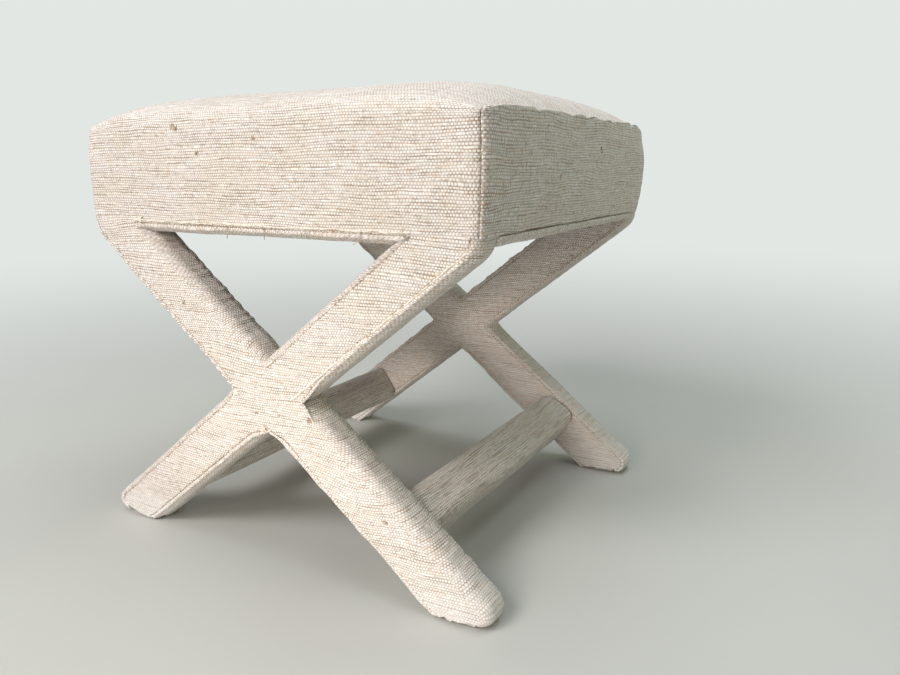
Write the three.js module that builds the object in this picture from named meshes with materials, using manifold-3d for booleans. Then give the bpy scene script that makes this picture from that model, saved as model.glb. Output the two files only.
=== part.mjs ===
// An upholstered stool on two crossed-leg frames, joined low down by two stretchers.
// Millimetres. +X runs along the front from left to right, +Y from front to back, +Z up.
// The origin is on the floor, below the middle of the seat.
import * as THREE from "three";
import { mergeVertices, toCreasedNormals } from "three/addons/utils/BufferGeometryUtils.js";
import Module from "manifold-3d";

const wasm = await Module();
wasm.setup();

// The seat box
const seatWidth = 470;
const seatDepth = 420;
const seatUnderside = 331;
const seatSideHeight = 106;
const seatCrown = 33;
const seatBulge = 5;
const seatCornerRadius = 9;

// The crown rises fast behind the front and rear folds and as a firm plateau over the sides.
const crownPowers = { widthPower: 8, widthEase: 1.18, depthPower: 3.2, depthEase: 0.56 };

// The crossed frames
const legWidth = 57;
const crossingHeight = 179;
const legMeetingDrop = 4;
const frameThickness = 36;
const frameEdgeRadius = 12;
const toeRadius = 15;
const railBandHeight = 10;

// The stretchers
const stretcherSize = 48;
const stretcherEdgeRadius = 12;
const stretcherHeight = 65;
const stretcherDrop = 1.5;
const stretcherTwist = THREE.MathUtils.degToRad(5);

// Cloth and padding
const clothThickness = 2;
const waddingThickness = 3;
const dustCoverThickness = 1;
const hemWidth = 22;
const soleHeight = 4;
const panelEdge = 5;

// Timber
const railHeight = 55;
const railThickness = 24;
const sideRailThickness = 28;
const boardThickness = 12;
const cornerBlockLeg = 60;
const cornerBlockHeight = 40;

// Dowels, bolts and screws
const dowelDiameter = 10;
const dowelLength = 50;
const dowelSetback = 15;
const boltDiameter = 8;
const boltLength = 80;
const boltHeadDiameter = 15;
const boltHeadHeight = 5;
const screwDiameter = 6;
const screwTipCover = 4.8;
const screwHeadDiameter = 11;
const screwHeadHeight = 4;
const stretcherPinDiameter = 8;
const stretcherPinLength = 40;
const stretcherPinPlace = 12;

// Clearances
const fitGap = 0.3;
const overrun = 25;

// Number of steps on round stretches, and the shares of a quarter turn on a soft edge
const cornerSteps = 3;
const sideSteps = 5;
const arcSteps = 4;
const roundSides = 12;
const edgeShares = [0, 1 / 3, 2 / 3, 1];

// Shares of the side's height and of the plan's size at which the seat's form has a ring
const sideHeightShares = [0, 0.15, 0.35, 0.6, 0.85, 1];
const crownRingShares = [0.985, 0.955, 0.9, 0.8, 0.62, 0.35];

// Places that follow from the sizes
const waddingInset = clothThickness + fitGap;
const waddingInnerInset = waddingInset + waddingThickness;
const timberInset = waddingInnerInset + fitGap;
const halfWidth = seatWidth / 2;
const halfDepth = seatDepth / 2;
const bandTop = seatUnderside + railBandHeight;
const frameInnerFace = halfDepth - frameThickness;
const seatShoulder = seatUnderside + seatSideHeight;

// A leg's lower edge meets the seat's side a little under the seat's underside.
const meetingRise = seatUnderside - legMeetingDrop - crossingHeight;
const cornerReach = Math.hypot(halfWidth, meetingRise);
const legAngle = Math.atan2(meetingRise, halfWidth) + Math.asin(legWidth / 2 / cornerReach);
const slope = Math.tan(legAngle);
const legHalfAcross = legWidth / 2 / Math.sin(legAngle);
const legHalfUp = legWidth / 2 / Math.cos(legAngle);

// The timber
const railBottom = seatUnderside + timberInset;
const railTop = railBottom + railHeight;
const boardBottom = railTop + fitGap;
const boardTop = boardBottom + boardThickness;
const railInnerFace = halfDepth - timberInset - railThickness;
const sideRailInnerFace = halfWidth - timberInset - sideRailThickness;
const stretcherX = (crossingHeight - stretcherHeight - stretcherDrop / Math.cos(legAngle)) / slope;
const stretcherTurn = legAngle - stretcherTwist;
const dowelX = (railBottom - crossingHeight) / slope - dowelSetback;
const screwLength = frameThickness - 2 * timberInset - screwTipCover;

// Finishes
function finish(colour, roughness, metalness = 0) {
  return new THREE.MeshStandardMaterial({ color: colour, roughness, metalness });
}
const cloth = finish("#dccbb2", 0.95);
const shadedCloth = finish("#cdb898", 0.95);
const timber = finish("#b88d5f", 0.7);
const plywood = finish("#c9a877", 0.75);
const foam = finish("#e6d9a8", 0.9);
const wadding = finish("#eeeeea", 1);
const blackCloth = finish("#2c2b2a", 0.95);
const steel = finish("#9c9d9e", 0.4, 0.9);

// A closed geometry as a solid that can be joined and cut.
function solidOf(geometry) {
  const bare = geometry.clone();
  bare.deleteAttribute("normal");
  bare.deleteAttribute("uv");
  const merged = mergeVertices(bare, fitGap / 100);
  return new wasm.Manifold(
    new wasm.Mesh({
      numProp: 3,
      vertProperties: new Float32Array(merged.attributes.position.array),
      triVerts: new Uint32Array(merged.index.array),
    }),
  );
}

// A solid as a geometry for a mesh.
function geometryOf(solid) {
  const { vertProperties, triVerts } = solid.getMesh();
  const geometry = new THREE.BufferGeometry();
  geometry.setAttribute("position", new THREE.BufferAttribute(vertProperties, 3));
  geometry.setIndex(new THREE.BufferAttribute(triVerts, 1));
  return toCreasedNormals(geometry, Math.PI / 5);
}

// A named mesh of a solid.
function piece(name, solid, material) {
  const mesh = new THREE.Mesh(geometryOf(solid), material);
  mesh.name = name;
  return mesh;
}

// A block between two heights and two bounds each way.
function block([left, right], [front, back], [bottom, top]) {
  const box = new THREE.BoxGeometry(right - left, back - front, top - bottom);
  box.translate((left + right) / 2, (front + back) / 2, (bottom + top) / 2);
  return solidOf(box);
}

// Everything past one bound, for cutting.
const wide = 2 * (seatWidth + seatDepth);
const above = (height) => block([-wide, wide], [-wide, wide], [height, wide]);
const below = (height) => block([-wide, wide], [-wide, wide], [-wide, height]);

// The outline's lines each moved inwards, for an outline that runs counter-clockwise.
function insetOutline(points, inset) {
  const lines = points.map((point, index) => {
    const next = points[(index + 1) % points.length];
    const along = new THREE.Vector2().subVectors(next, point).normalize();
    const inwards = new THREE.Vector2(-along.y, along.x);
    return { start: point.clone().addScaledVector(inwards, inset), along };
  });
  return lines.map((line, index) => {
    const before = lines[(index + lines.length - 1) % lines.length];
    const between = new THREE.Vector2().subVectors(line.start, before.start);
    const reach = between.cross(line.along) / before.along.cross(line.along);
    return before.start.clone().addScaledVector(before.along, reach);
  });
}

// An outline's points, with an arc wherever a radius is given for a corner.
function roundedOutline(points, radii) {
  return points.flatMap((corner, index) => {
    const radius = radii[index];
    if (radius <= 0) return [corner];
    const before = points[(index + points.length - 1) % points.length];
    const after = points[(index + 1) % points.length];
    const back = new THREE.Vector2().subVectors(before, corner).normalize();
    const on = new THREE.Vector2().subVectors(after, corner).normalize();
    const halfAngle = Math.acos(back.dot(on)) / 2;
    const middle = new THREE.Vector2().addVectors(back, on).normalize();
    const centre = corner.clone().addScaledVector(middle, radius / Math.sin(halfAngle));
    const start = corner.clone().addScaledVector(back, radius / Math.tan(halfAngle)).sub(centre);
    const end = corner.clone().addScaledVector(on, radius / Math.tan(halfAngle)).sub(centre);
    const sweep = Math.atan2(start.cross(end), start.dot(end));
    const arc = [];
    for (let step = 0; step <= arcSteps; step++) {
      const turned = start.clone().rotateAround(new THREE.Vector2(), (sweep * step) / arcSteps);
      arc.push(turned.add(centre));
    }
    return arc;
  });
}

// A form along Y whose outline in X and Z can be drawn in, so that its edges are soft.
// The outline's first loop runs counter-clockwise and a hole's loop runs clockwise.
function softForm(loopsAt, front, back, edgeRadius) {
  const shares = edgeRadius > 0 ? edgeShares : [1];
  const edge = shares.map((share) => {
    const angle = (share * Math.PI) / 2;
    const loops = loopsAt(edgeRadius * (1 - Math.sin(angle)));
    return { loops, depth: edgeRadius * (1 - Math.cos(angle)) };
  });
  const sections = [
    ...edge.map(({ loops, depth }) => ({ loops, y: front + depth })),
    ...edge.toReversed().map(({ loops, depth }) => ({ loops, y: back - depth })),
  ];
  const points = sections.flatMap(({ loops, y }) =>
    loops.flat().map((point) => new THREE.Vector3(point.x, y, point.y)),
  );
  const count = points.length / sections.length;
  const faces = [];
  for (let section = 0; section + 1 < sections.length; section++) {
    let start = section * count;
    for (const loop of sections[section].loops) {
      loop.forEach((_, index) => {
        const here = start + index;
        const next = start + ((index + 1) % loop.length);
        faces.push(here, here + count, next + count, here, next + count, next);
      });
      start += loop.length;
    }
  }
  const [outer, ...holes] = sections[0].loops;
  const backStart = points.length - count;
  for (const [a, b, c] of THREE.ShapeUtils.triangulateShape(outer, holes)) {
    faces.push(a, b, c, backStart + a, backStart + c, backStart + b);
  }
  const geometry = new THREE.BufferGeometry().setFromPoints(points);
  geometry.setIndex(faces);
  return solidOf(geometry);
}

// An outline drawn in plan, made thick upwards.
function uprightForm(outline, bottom, top) {
  const shape = new THREE.Shape(outline);
  const geometry = new THREE.ExtrudeGeometry(shape, { depth: top - bottom, bevelEnabled: false });
  geometry.translate(0, 0, bottom);
  return solidOf(geometry);
}

// A round rod along Y, with a head at its front end where a head is given.
function rod(radius, length, headRadius = radius, headHeight = 0) {
  const profile = [new THREE.Vector2(0, 0), new THREE.Vector2(headRadius, 0)];
  if (headHeight > 0) {
    profile.push(new THREE.Vector2(headRadius, headHeight));
    profile.push(new THREE.Vector2(radius, headHeight));
  }
  profile.push(new THREE.Vector2(radius, length));
  profile.push(new THREE.Vector2(0, length));
  return solidOf(new THREE.LatheGeometry(profile, roundSides));
}

// A front piece turned round to the back, or left where it is.
function turnedToSide(solid, side) {
  return side === "rear" ? solid.rotate([0, 0, 180]) : solid;
}

// The crossed frame's outline, counter-clockwise, with its top past the seat's lower seam.
function frameOutline() {
  const edgeTop = seatUnderside - legMeetingDrop;
  const footInner = (crossingHeight - legHalfUp) / slope;
  const footOuter = (crossingHeight + legHalfUp) / slope;
  return [
    new THREE.Vector2(0, crossingHeight - legHalfUp),
    new THREE.Vector2(footInner, 0),
    new THREE.Vector2(footOuter, 0),
    new THREE.Vector2(legHalfAcross, crossingHeight),
    new THREE.Vector2(halfWidth, edgeTop),
    new THREE.Vector2(halfWidth, bandTop + overrun),
    new THREE.Vector2(-halfWidth, bandTop + overrun),
    new THREE.Vector2(-halfWidth, edgeTop),
    new THREE.Vector2(-legHalfAcross, crossingHeight),
    new THREE.Vector2(-footOuter, 0),
    new THREE.Vector2(-footInner, 0),
  ];
}

// The open triangle between the upper arms and the rail's underside, counter-clockwise.
function triangleOutline() {
  const cornerX = (seatUnderside - crossingHeight - legHalfUp) / slope;
  return [
    new THREE.Vector2(0, crossingHeight + legHalfUp),
    new THREE.Vector2(cornerX, seatUnderside),
    new THREE.Vector2(-cornerX, seatUnderside),
  ];
}

// The front frame's form, drawn in by an inset, with its top past the seat's lower seam.
function frameForm(inset) {
  const loopsAt = (edge) => {
    const toe = toeRadius - inset - edge;
    const radii = [0, 0, toe, 0, 0, 0, 0, 0, 0, toe, 0];
    return [
      roundedOutline(insetOutline(frameOutline(), inset + edge), radii),
      insetOutline(triangleOutline(), -inset - edge).toReversed(),
    ];
  };
  const front = -halfDepth + inset;
  const back = -frameInnerFace - inset;
  return softForm(loopsAt, front, back, frameEdgeRadius - inset);
}

// A layer round the front frame between two insets, up to the seat's lower seam.
function frameLayer(outer, inner) {
  return frameForm(outer).subtract(frameForm(inner)).subtract(above(bandTop));
}

// One leg's board, running down to the right.
function legBoard(extraWidth = 0) {
  const half = legHalfUp + extraWidth / Math.cos(legAngle);
  const top = railBottom - fitGap + timberInset;
  const outline = [
    new THREE.Vector2((crossingHeight - half) / slope, 0),
    new THREE.Vector2((crossingHeight + half) / slope, 0),
    new THREE.Vector2((crossingHeight + half - top) / slope, top),
    new THREE.Vector2((crossingHeight - half - top) / slope, top),
  ];
  const loopsAt = (edge) => {
    const inset = timberInset + edge;
    return [roundedOutline(insetOutline(outline, inset), [0, toeRadius - inset, 0, 0])];
  };
  const front = -halfDepth + timberInset;
  const back = -frameInnerFace - timberInset;
  return softForm(loopsAt, front, back, frameEdgeRadius - timberInset);
}

// The leg that falls to the right or rises to the right.
function leaning(solid, lean) {
  return lean === "falling" ? solid : solid.mirror([1, 0, 0]);
}

// The middle plane of the front frame, where the two legs are halved into each other.
const frameMiddle = -halfDepth + frameThickness / 2;

// A leg's top end is cut upright where the frame's soft outer edge starts.
const legTip = block([-wide, -halfWidth + frameEdgeRadius], [-wide, 0], [crossingHeight, wide]);

// A leg of a frame, halved at the crossing, with its dowel, bolt, pin and screw holes.
function frameLeg(lean) {
  const other = lean === "falling" ? "rising" : "falling";
  const lost = lean === "falling" ? [frameMiddle - fitGap / 2, 0] : [-wide, frameMiddle + fitGap / 2];
  const halfBlock = block([-wide, wide], lost, [0, wide]);
  const crossing = leaning(legBoard(fitGap), other).intersect(halfBlock);
  const side = lean === "falling" ? 1 : -1;
  return leaning(legBoard().subtract(legTip), lean)
    .subtract(crossing)
    .subtract(legDowelHole(-side))
    .subtract(stretcherBoltHole(side))
    .subtract(stretcherPinHole(side))
    .subtract(crossingScrewHole());
}

// The dowel that stands in a leg's top and in the rail over it.
function legDowel(side, extra = 0) {
  const length = dowelLength + 2 * extra;
  const solid = rod(dowelDiameter / 2 + extra, length).rotate([90, 0, 0]);
  const y = -halfDepth + timberInset + railThickness / 2;
  return solid.translate([side * dowelX, y, railBottom - fitGap / 2 - length / 2]);
}
const legDowelHole = (side) => legDowel(side, fitGap);

// The bolt that holds a stretcher's end to a leg.
function stretcherBolt(side, extra = 0) {
  const shank = boltDiameter / 2 + extra;
  const head = boltHeadDiameter / 2 + extra;
  const solid = rod(shank, boltLength + extra, head, boltHeadHeight + extra);
  return solid.translate([side * stretcherX, -halfDepth + timberInset, stretcherHeight]);
}

// A bolt's hole, with its head's recess open at the leg's face.
function stretcherBoltHole(side) {
  const recess = rod(boltHeadDiameter / 2 + fitGap, overrun);
  const start = -halfDepth + timberInset + boltHeadHeight - overrun;
  return stretcherBolt(side, fitGap).add(recess.translate([side * stretcherX, start, stretcherHeight]));
}

// The pin beside the bolt that keeps a stretcher from turning.
function stretcherPin(side, extra = 0) {
  const length = stretcherPinLength + 2 * extra;
  const solid = rod(stretcherPinDiameter / 2 + extra, length);
  const across = side * stretcherPinPlace * Math.cos(legAngle);
  const down = stretcherPinPlace * Math.sin(legAngle);
  const start = -frameInnerFace - timberInset - length / 2;
  return solid.translate([side * stretcherX + across, start, stretcherHeight - down]);
}
const stretcherPinHole = (side) => stretcherPin(side, fitGap);

// The screw through the halved crossing.
function crossingScrew(extra = 0) {
  const head = screwHeadDiameter / 2 + extra;
  const solid = rod(screwDiameter / 2 + extra, screwLength + extra, head, screwHeadHeight + extra);
  return solid.translate([0, -halfDepth + timberInset, crossingHeight]);
}

// The screw's hole, with its head's recess open at the leg's face.
function crossingScrewHole() {
  const recess = rod(screwHeadDiameter / 2 + fitGap, overrun);
  const start = -halfDepth + timberInset + screwHeadHeight - overrun;
  return crossingScrew(fitGap).add(recess.translate([0, start, crossingHeight]));
}

// The outline of a square bar with round edges, turned as the stretcher is.
function stretcherOutline(side, inset) {
  const half = stretcherSize / 2;
  const square = [
    new THREE.Vector2(-half, -half),
    new THREE.Vector2(half, -half),
    new THREE.Vector2(half, half),
    new THREE.Vector2(-half, half),
  ];
  const radius = stretcherEdgeRadius - inset;
  const centre = new THREE.Vector2(side * stretcherX, stretcherHeight);
  const corners = insetOutline(square, inset).map((corner) =>
    corner.rotateAround(new THREE.Vector2(), -side * stretcherTurn).add(centre),
  );
  return roundedOutline(corners, [radius, radius, radius, radius]);
}

// A stretcher's bar between two depths, drawn in by an inset.
function stretcherBar(side, inset, front, back) {
  return softForm(() => [stretcherOutline(side, inset)], front, back, 0);
}

// The timber bar of a stretcher, drilled at both ends.
function stretcherTimber(side) {
  const reach = frameInnerFace + timberInset - fitGap;
  const holes = stretcherBoltHole(side).add(stretcherPinHole(side));
  return stretcherBar(side, timberInset, -reach, reach)
    .subtract(holes)
    .subtract(holes.mirror([0, 1, 0]));
}

// A layer round a stretcher between two insets, open at both ends.
function stretcherLayer(side, outer, inner) {
  const reach = frameInnerFace - fitGap;
  const hollow = stretcherBar(side, inner, -reach - overrun, reach + overrun);
  return stretcherBar(side, outer, -reach, reach).subtract(hollow);
}

// One ring of the seat's plan, counter-clockwise from the right.
function planRing(ringHalfWidth, ringHalfDepth, radius) {
  const signs = [[1, 1], [-1, 1], [-1, -1], [1, -1]];
  const arcs = signs.map(([signX, signY], corner) => {
    const arc = [];
    for (let step = 0; step <= cornerSteps; step++) {
      const angle = ((corner + step / cornerSteps) * Math.PI) / 2;
      const x = signX * (ringHalfWidth - radius) + radius * Math.cos(angle);
      const y = signY * (ringHalfDepth - radius) + radius * Math.sin(angle);
      arc.push(new THREE.Vector2(x, y));
    }
    return arc;
  });
  return arcs.flatMap((arc, corner) => {
    const from = arc[arc.length - 1];
    const to = arcs[(corner + 1) % arcs.length][0];
    const side = [];
    for (let step = 1; step < sideSteps; step++) side.push(from.clone().lerp(to, step / sideSteps));
    return [...arc, ...side];
  });
}

// How far the crown stands over the shoulder at a share of the half width and half depth.
function crownRise(widthShare, depthShare) {
  const { widthPower, widthEase, depthPower, depthEase } = crownPowers;
  const across = Math.max(1 - Math.abs(widthShare) ** widthPower, 0) ** widthEase;
  const along = Math.max(1 - Math.abs(depthShare) ** depthPower, 0) ** depthEase;
  return seatCrown * across * along;
}

// The seat's crowned form, drawn in by an inset, standing on a flat face at a height.
function seatForm(inset, bottom) {
  const formHalfWidth = halfWidth - inset;
  const formHalfDepth = halfDepth - inset;
  const radius = seatCornerRadius - inset / 2;
  const shoulder = seatShoulder - inset;
  const rings = sideHeightShares.map((share) => {
    const bulge = seatBulge * Math.sin(Math.PI * share);
    const height = bottom + share * (shoulder - bottom);
    const ring = planRing(formHalfWidth + bulge, formHalfDepth + bulge, radius + bulge);
    return ring.map(({ x, y }) => new THREE.Vector3(x, y, height));
  });
  for (const share of crownRingShares) {
    const ring = planRing(formHalfWidth * share, formHalfDepth * share, radius * share);
    rings.push(ring.map(({ x, y }) => {
      const rise = crownRise(x / formHalfWidth, y / formHalfDepth);
      return new THREE.Vector3(x, y, shoulder + rise);
    }));
  }
  const count = rings[0].length;
  const points = rings.flat();
  const last = (rings.length - 1) * count;
  const topCentre = points.length;
  points.push(new THREE.Vector3(0, 0, shoulder + seatCrown));
  const bottomCentre = points.length;
  points.push(new THREE.Vector3(0, 0, bottom));
  const faces = [];
  for (let step = 0; step < count; step++) {
    const next = (step + 1) % count;
    for (let start = 0; start < last; start += count) {
      faces.push(start + step, start + next, start + count + next);
      faces.push(start + step, start + count + next, start + count + step);
    }
    faces.push(last + step, last + next, topCentre);
    faces.push(next, step, bottomCentre);
  }
  const geometry = new THREE.BufferGeometry().setFromPoints(points);
  geometry.setIndex(faces);
  return solidOf(geometry);
}

// The space that the two crossed frames take under the seat's lower seam, with a gap.
function frameSpace(gap) {
  const inner = frameInnerFace - gap;
  const front = block([-wide, wide], [-wide, -inner], [-wide, bandTop + gap]);
  return front.add(front.mirror([0, 1, 0]));
}

// The seat's cloth as one shell, turned under along both sides.
function seatCloth() {
  const inner = seatForm(clothThickness, seatUnderside + clothThickness);
  const hole = block(
    [-halfWidth + hemWidth, halfWidth - hemWidth],
    [-wide, wide],
    [-wide, bandTop],
  );
  return seatForm(0, seatUnderside).subtract(inner).subtract(hole).subtract(frameSpace(fitGap));
}

// The space of one side panel, from its corner seams out and up to its top seam.
function sidePanelSpace(side, gap) {
  const inner = halfWidth - panelEdge - gap;
  const outer = wide;
  const space = block([inner, outer], [-wide, wide], [-wide, seatShoulder + gap]);
  const hem = block([0, outer], [-wide, wide], [-wide, seatUnderside + clothThickness + gap]);
  return side > 0 ? space.add(hem) : space.add(hem).mirror([1, 0, 0]);
}

// A rail across the front or back, with round outer corners.
function frontRail() {
  const reachX = halfWidth - timberInset;
  const reachY = halfDepth - timberInset;
  const outline = [
    new THREE.Vector2(-reachX, -reachY),
    new THREE.Vector2(reachX, -reachY),
    new THREE.Vector2(reachX, -railInnerFace),
    new THREE.Vector2(-reachX, -railInnerFace),
  ];
  return uprightForm(roundedOutline(outline, [seatCornerRadius, seatCornerRadius, 0, 0]), railBottom, railTop)
    .intersect(frameForm(timberInset).add(above(bandTop)))
    .subtract(legDowelHole(1))
    .subtract(legDowelHole(-1));
}

// A rail along one side, between the front and rear rails and rebated over both frames.
function sideRail(side) {
  const bottom = seatUnderside + clothThickness + fitGap;
  const across = [sideRailInnerFace, halfWidth - timberInset];
  const along = [-railInnerFace + fitGap, railInnerFace - fitGap];
  const rail = block(across, along, [bottom, railTop]).subtract(frameSpace(2 * fitGap));
  return side > 0 ? rail : rail.mirror([1, 0, 0]);
}

// A three-cornered block glued into a corner of the rails.
function cornerBlock(side) {
  const x = sideRailInnerFace - fitGap;
  const y = -railInnerFace + fitGap;
  const outline = [
    new THREE.Vector2(x - cornerBlockLeg, y),
    new THREE.Vector2(x, y),
    new THREE.Vector2(x, y + cornerBlockLeg),
  ];
  const bottom = bandTop + 2 * fitGap;
  const solid = uprightForm(outline, bottom, bottom + cornerBlockHeight);
  return side > 0 ? solid : solid.mirror([1, 0, 0]);
}

// The deck that carries the foam.
function seatBoard() {
  const reachX = halfWidth - timberInset;
  const reachY = halfDepth - timberInset;
  const outline = [
    new THREE.Vector2(-reachX, -reachY),
    new THREE.Vector2(reachX, -reachY),
    new THREE.Vector2(reachX, reachY),
    new THREE.Vector2(-reachX, reachY),
  ];
  const radii = outline.map(() => seatCornerRadius);
  return uprightForm(roundedOutline(outline, radii), boardBottom, boardTop);
}

// The thin cloth that closes the seat from below.
function dustCover() {
  const reachX = halfWidth - hemWidth - fitGap;
  const reachY = frameInnerFace - fitGap;
  return block([-reachX, reachX], [-reachY, reachY], [seatUnderside, seatUnderside + dustCoverThickness]);
}

// The seams that part the front frame's cloth: a face panel each side and bands between.
const outerSeam = -halfDepth + frameEdgeRadius;
const innerSeam = -frameInnerFace - frameEdgeRadius;
const faceSpace = {
  outer: block([-wide, wide], [-wide, outerSeam], [soleHeight + fitGap, wide]),
  inner: block([-wide, wide], [innerSeam, wide], [soleHeight + fitGap, wide]),
  between: block([-wide, wide], [outerSeam + fitGap, innerSeam - fitGap], [soleHeight + fitGap, wide]),
};

// The cloth round the front frame, as one skin.
const frameCloth = frameLayer(0, clothThickness);

// The way through the front frame's padding and inner panel for both stretchers' timber.
const passageInset = timberInset - fitGap;
const stretcherPassage = stretcherBar(-1, passageInset, frameMiddle, 0).add(
  stretcherBar(1, passageInset, frameMiddle, 0),
);

// The frame's edge bands, named for the side of the frame that each one covers.
function edgeBands() {
  const bands = frameCloth.intersect(faceSpace.between).decompose();
  const centreOf = (solid) => {
    const { min, max } = solid.boundingBox();
    return { x: (min[0] + max[0]) / 2, z: (min[2] + max[2]) / 2 };
  };
  const named = {};
  for (const band of bands) {
    const { x, z } = centreOf(band);
    if (x > legHalfAcross) named.right = band;
    else if (x < -legHalfAcross) named.left = band;
    else if (z > crossingHeight) named.top = band;
    else named.bottom = band;
  }
  return named;
}

// The soles: the cloth under each foot of the front frame.
function footSole(side) {
  const space = side > 0
    ? block([0, wide], [-wide, 0], [-wide, soleHeight])
    : block([-wide, 0], [-wide, 0], [-wide, soleHeight]);
  return frameCloth.intersect(space);
}

// The timber of one crossed frame.
function frameTimber(side) {
  const group = new THREE.Group();
  for (const lean of ["falling", "rising"]) {
    group.add(piece(`${side}_leg_${lean}`, turnedToSide(frameLeg(lean), side), timber));
  }
  group.add(piece(`${side}_crossing_screw`, turnedToSide(crossingScrew(), side), steel));
  for (const [hand, sign] of [["left", -1], ["right", 1]]) {
    const turned = side === "rear" ? -sign : sign;
    group.add(piece(`leg_dowel_${side}_${hand}`, turnedToSide(legDowel(turned), side), timber));
    group.add(piece(`stretcher_bolt_${side}_${hand}`, turnedToSide(stretcherBolt(turned), side), steel));
    group.add(piece(`stretcher_dowel_${side}_${hand}`, turnedToSide(stretcherPin(turned), side), timber));
  }
  return group;
}

// The padding and cloth of one crossed frame.
function frameUpholstery(side) {
  const group = new THREE.Group();
  const padding = frameLayer(waddingInset, waddingInnerInset);
  const outerFace = frameCloth.intersect(faceSpace.outer);
  const innerFace = frameCloth.intersect(faceSpace.inner).subtract(stretcherPassage);
  group.add(piece(`${side}_frame_wadding`, turnedToSide(padding.subtract(stretcherPassage), side), wadding));
  group.add(piece(`${side}_frame_outer_panel`, turnedToSide(outerFace, side), cloth));
  group.add(piece(`${side}_frame_inner_panel`, turnedToSide(innerFace, side), shadedCloth));
  const bands = edgeBands();
  const left = side === "rear" ? bands.right : bands.left;
  const right = side === "rear" ? bands.left : bands.right;
  group.add(piece(`${side}_edge_band_top`, turnedToSide(bands.top, side), cloth));
  group.add(piece(`${side}_edge_band_bottom`, turnedToSide(bands.bottom, side), cloth));
  group.add(piece(`${side}_edge_band_left`, turnedToSide(left, side), cloth));
  group.add(piece(`${side}_edge_band_right`, turnedToSide(right, side), cloth));
  for (const [hand, sign] of [["left", -1], ["right", 1]]) {
    const turned = side === "rear" ? -sign : sign;
    group.add(piece(`foot_sole_${side}_${hand}`, turnedToSide(footSole(turned), side), cloth));
  }
  return group;
}

// A stretcher with its padding and cloth.
function stretcher(hand, side) {
  const group = new THREE.Group();
  group.add(piece(`${hand}_stretcher`, stretcherTimber(side), timber));
  const padding = stretcherLayer(side, waddingInset, waddingInnerInset);
  group.add(piece(`${hand}_stretcher_wadding`, padding, wadding));
  group.add(piece(`${hand}_stretcher_cover`, stretcherLayer(side, 0, clothThickness), shadedCloth));
  return group;
}

// The seat's timber box and deck.
function seatTimber() {
  const group = new THREE.Group();
  for (const side of ["front", "rear"]) {
    group.add(piece(`${side}_rail`, turnedToSide(frontRail(), side), timber));
    for (const [hand, sign] of [["left", -1], ["right", 1]]) {
      const turned = side === "rear" ? -sign : sign;
      group.add(piece(`corner_block_${side}_${hand}`, turnedToSide(cornerBlock(turned), side), timber));
    }
  }
  group.add(piece("left_rail", sideRail(-1), timber));
  group.add(piece("right_rail", sideRail(1), timber));
  group.add(piece("seat_board", seatBoard(), plywood));
  return group;
}

// The seat's padding and cloth.
function seatUpholstery() {
  const group = new THREE.Group();
  const cushion = seatForm(timberInset, seatUnderside).subtract(below(boardTop + fitGap));
  const paddingTop = seatForm(waddingInset, seatUnderside);
  const padding = paddingTop
    .subtract(seatForm(waddingInnerInset, seatUnderside))
    .subtract(below(bandTop + 2 * fitGap));
  const shell = seatCloth();
  const waterfall = shell.subtract(sidePanelSpace(1, fitGap)).subtract(sidePanelSpace(-1, fitGap));
  group.add(piece("seat_foam", cushion, foam));
  group.add(piece("seat_wadding", padding, wadding));
  group.add(piece("waterfall_panel", waterfall, cloth));
  group.add(piece("left_side_panel", shell.intersect(sidePanelSpace(-1, 0)), shadedCloth));
  group.add(piece("right_side_panel", shell.intersect(sidePanelSpace(1, 0)), shadedCloth));
  group.add(piece("dust_cover", dustCover(), blackCloth));
  return group;
}

const stool = new THREE.Group();
stool.add(seatTimber());
for (const side of ["front", "rear"]) {
  stool.add(frameTimber(side));
  stool.add(frameUpholstery(side));
}
stool.add(stretcher("left", -1));
stool.add(stretcher("right", 1));
stool.add(seatUpholstery());

export default stool;
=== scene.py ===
"""The looks of the crossed-leg stool: its slubby woven cover, seams, stitches and threads.

Metres. +X runs along the front from left to right, +Y from front to back, +Z up.
"""

import math
from functools import partial

import bpy
import numpy as np
from mathutils import Matrix, Vector
from mathutils.bvhtree import BVHTree


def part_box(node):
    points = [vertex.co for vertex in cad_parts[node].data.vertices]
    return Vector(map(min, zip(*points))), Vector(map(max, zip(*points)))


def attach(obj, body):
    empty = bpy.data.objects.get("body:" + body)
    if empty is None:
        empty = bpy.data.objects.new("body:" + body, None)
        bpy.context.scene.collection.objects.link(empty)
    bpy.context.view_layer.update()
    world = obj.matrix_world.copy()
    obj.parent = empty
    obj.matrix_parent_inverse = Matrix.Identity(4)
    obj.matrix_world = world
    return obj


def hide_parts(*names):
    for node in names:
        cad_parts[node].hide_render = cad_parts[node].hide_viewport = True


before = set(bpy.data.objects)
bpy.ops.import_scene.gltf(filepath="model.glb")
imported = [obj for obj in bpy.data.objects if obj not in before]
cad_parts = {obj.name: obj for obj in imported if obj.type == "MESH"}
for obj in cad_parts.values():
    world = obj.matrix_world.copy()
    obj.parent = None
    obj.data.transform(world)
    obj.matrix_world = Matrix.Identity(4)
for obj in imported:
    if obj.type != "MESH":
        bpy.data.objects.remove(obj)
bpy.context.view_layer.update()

# The seat box
SEAT_WIDTH = 0.470
SEAT_DEPTH = 0.420
SEAT_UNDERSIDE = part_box("left_side_panel")[0].z
SEAT_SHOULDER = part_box("left_side_panel")[1].z
SEAT_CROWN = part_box("waterfall_panel")[1].z - SEAT_SHOULDER
SEAT_BULGE = 0.0075
BULGE_END_SHARE = 0.75
FOLD_RADIUS = 0.007
SIDE_FOLD_RADIUS = 0.006
SIDE_FOLD_POWER = 0.7
CORNER_RADIUS = 0.009
CORNER_EASE = 0.015
PANEL_EDGE = 0.0025
CREASE_DEPTH = 0.0005
CREASE_WIDTH = 0.0012

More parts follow.
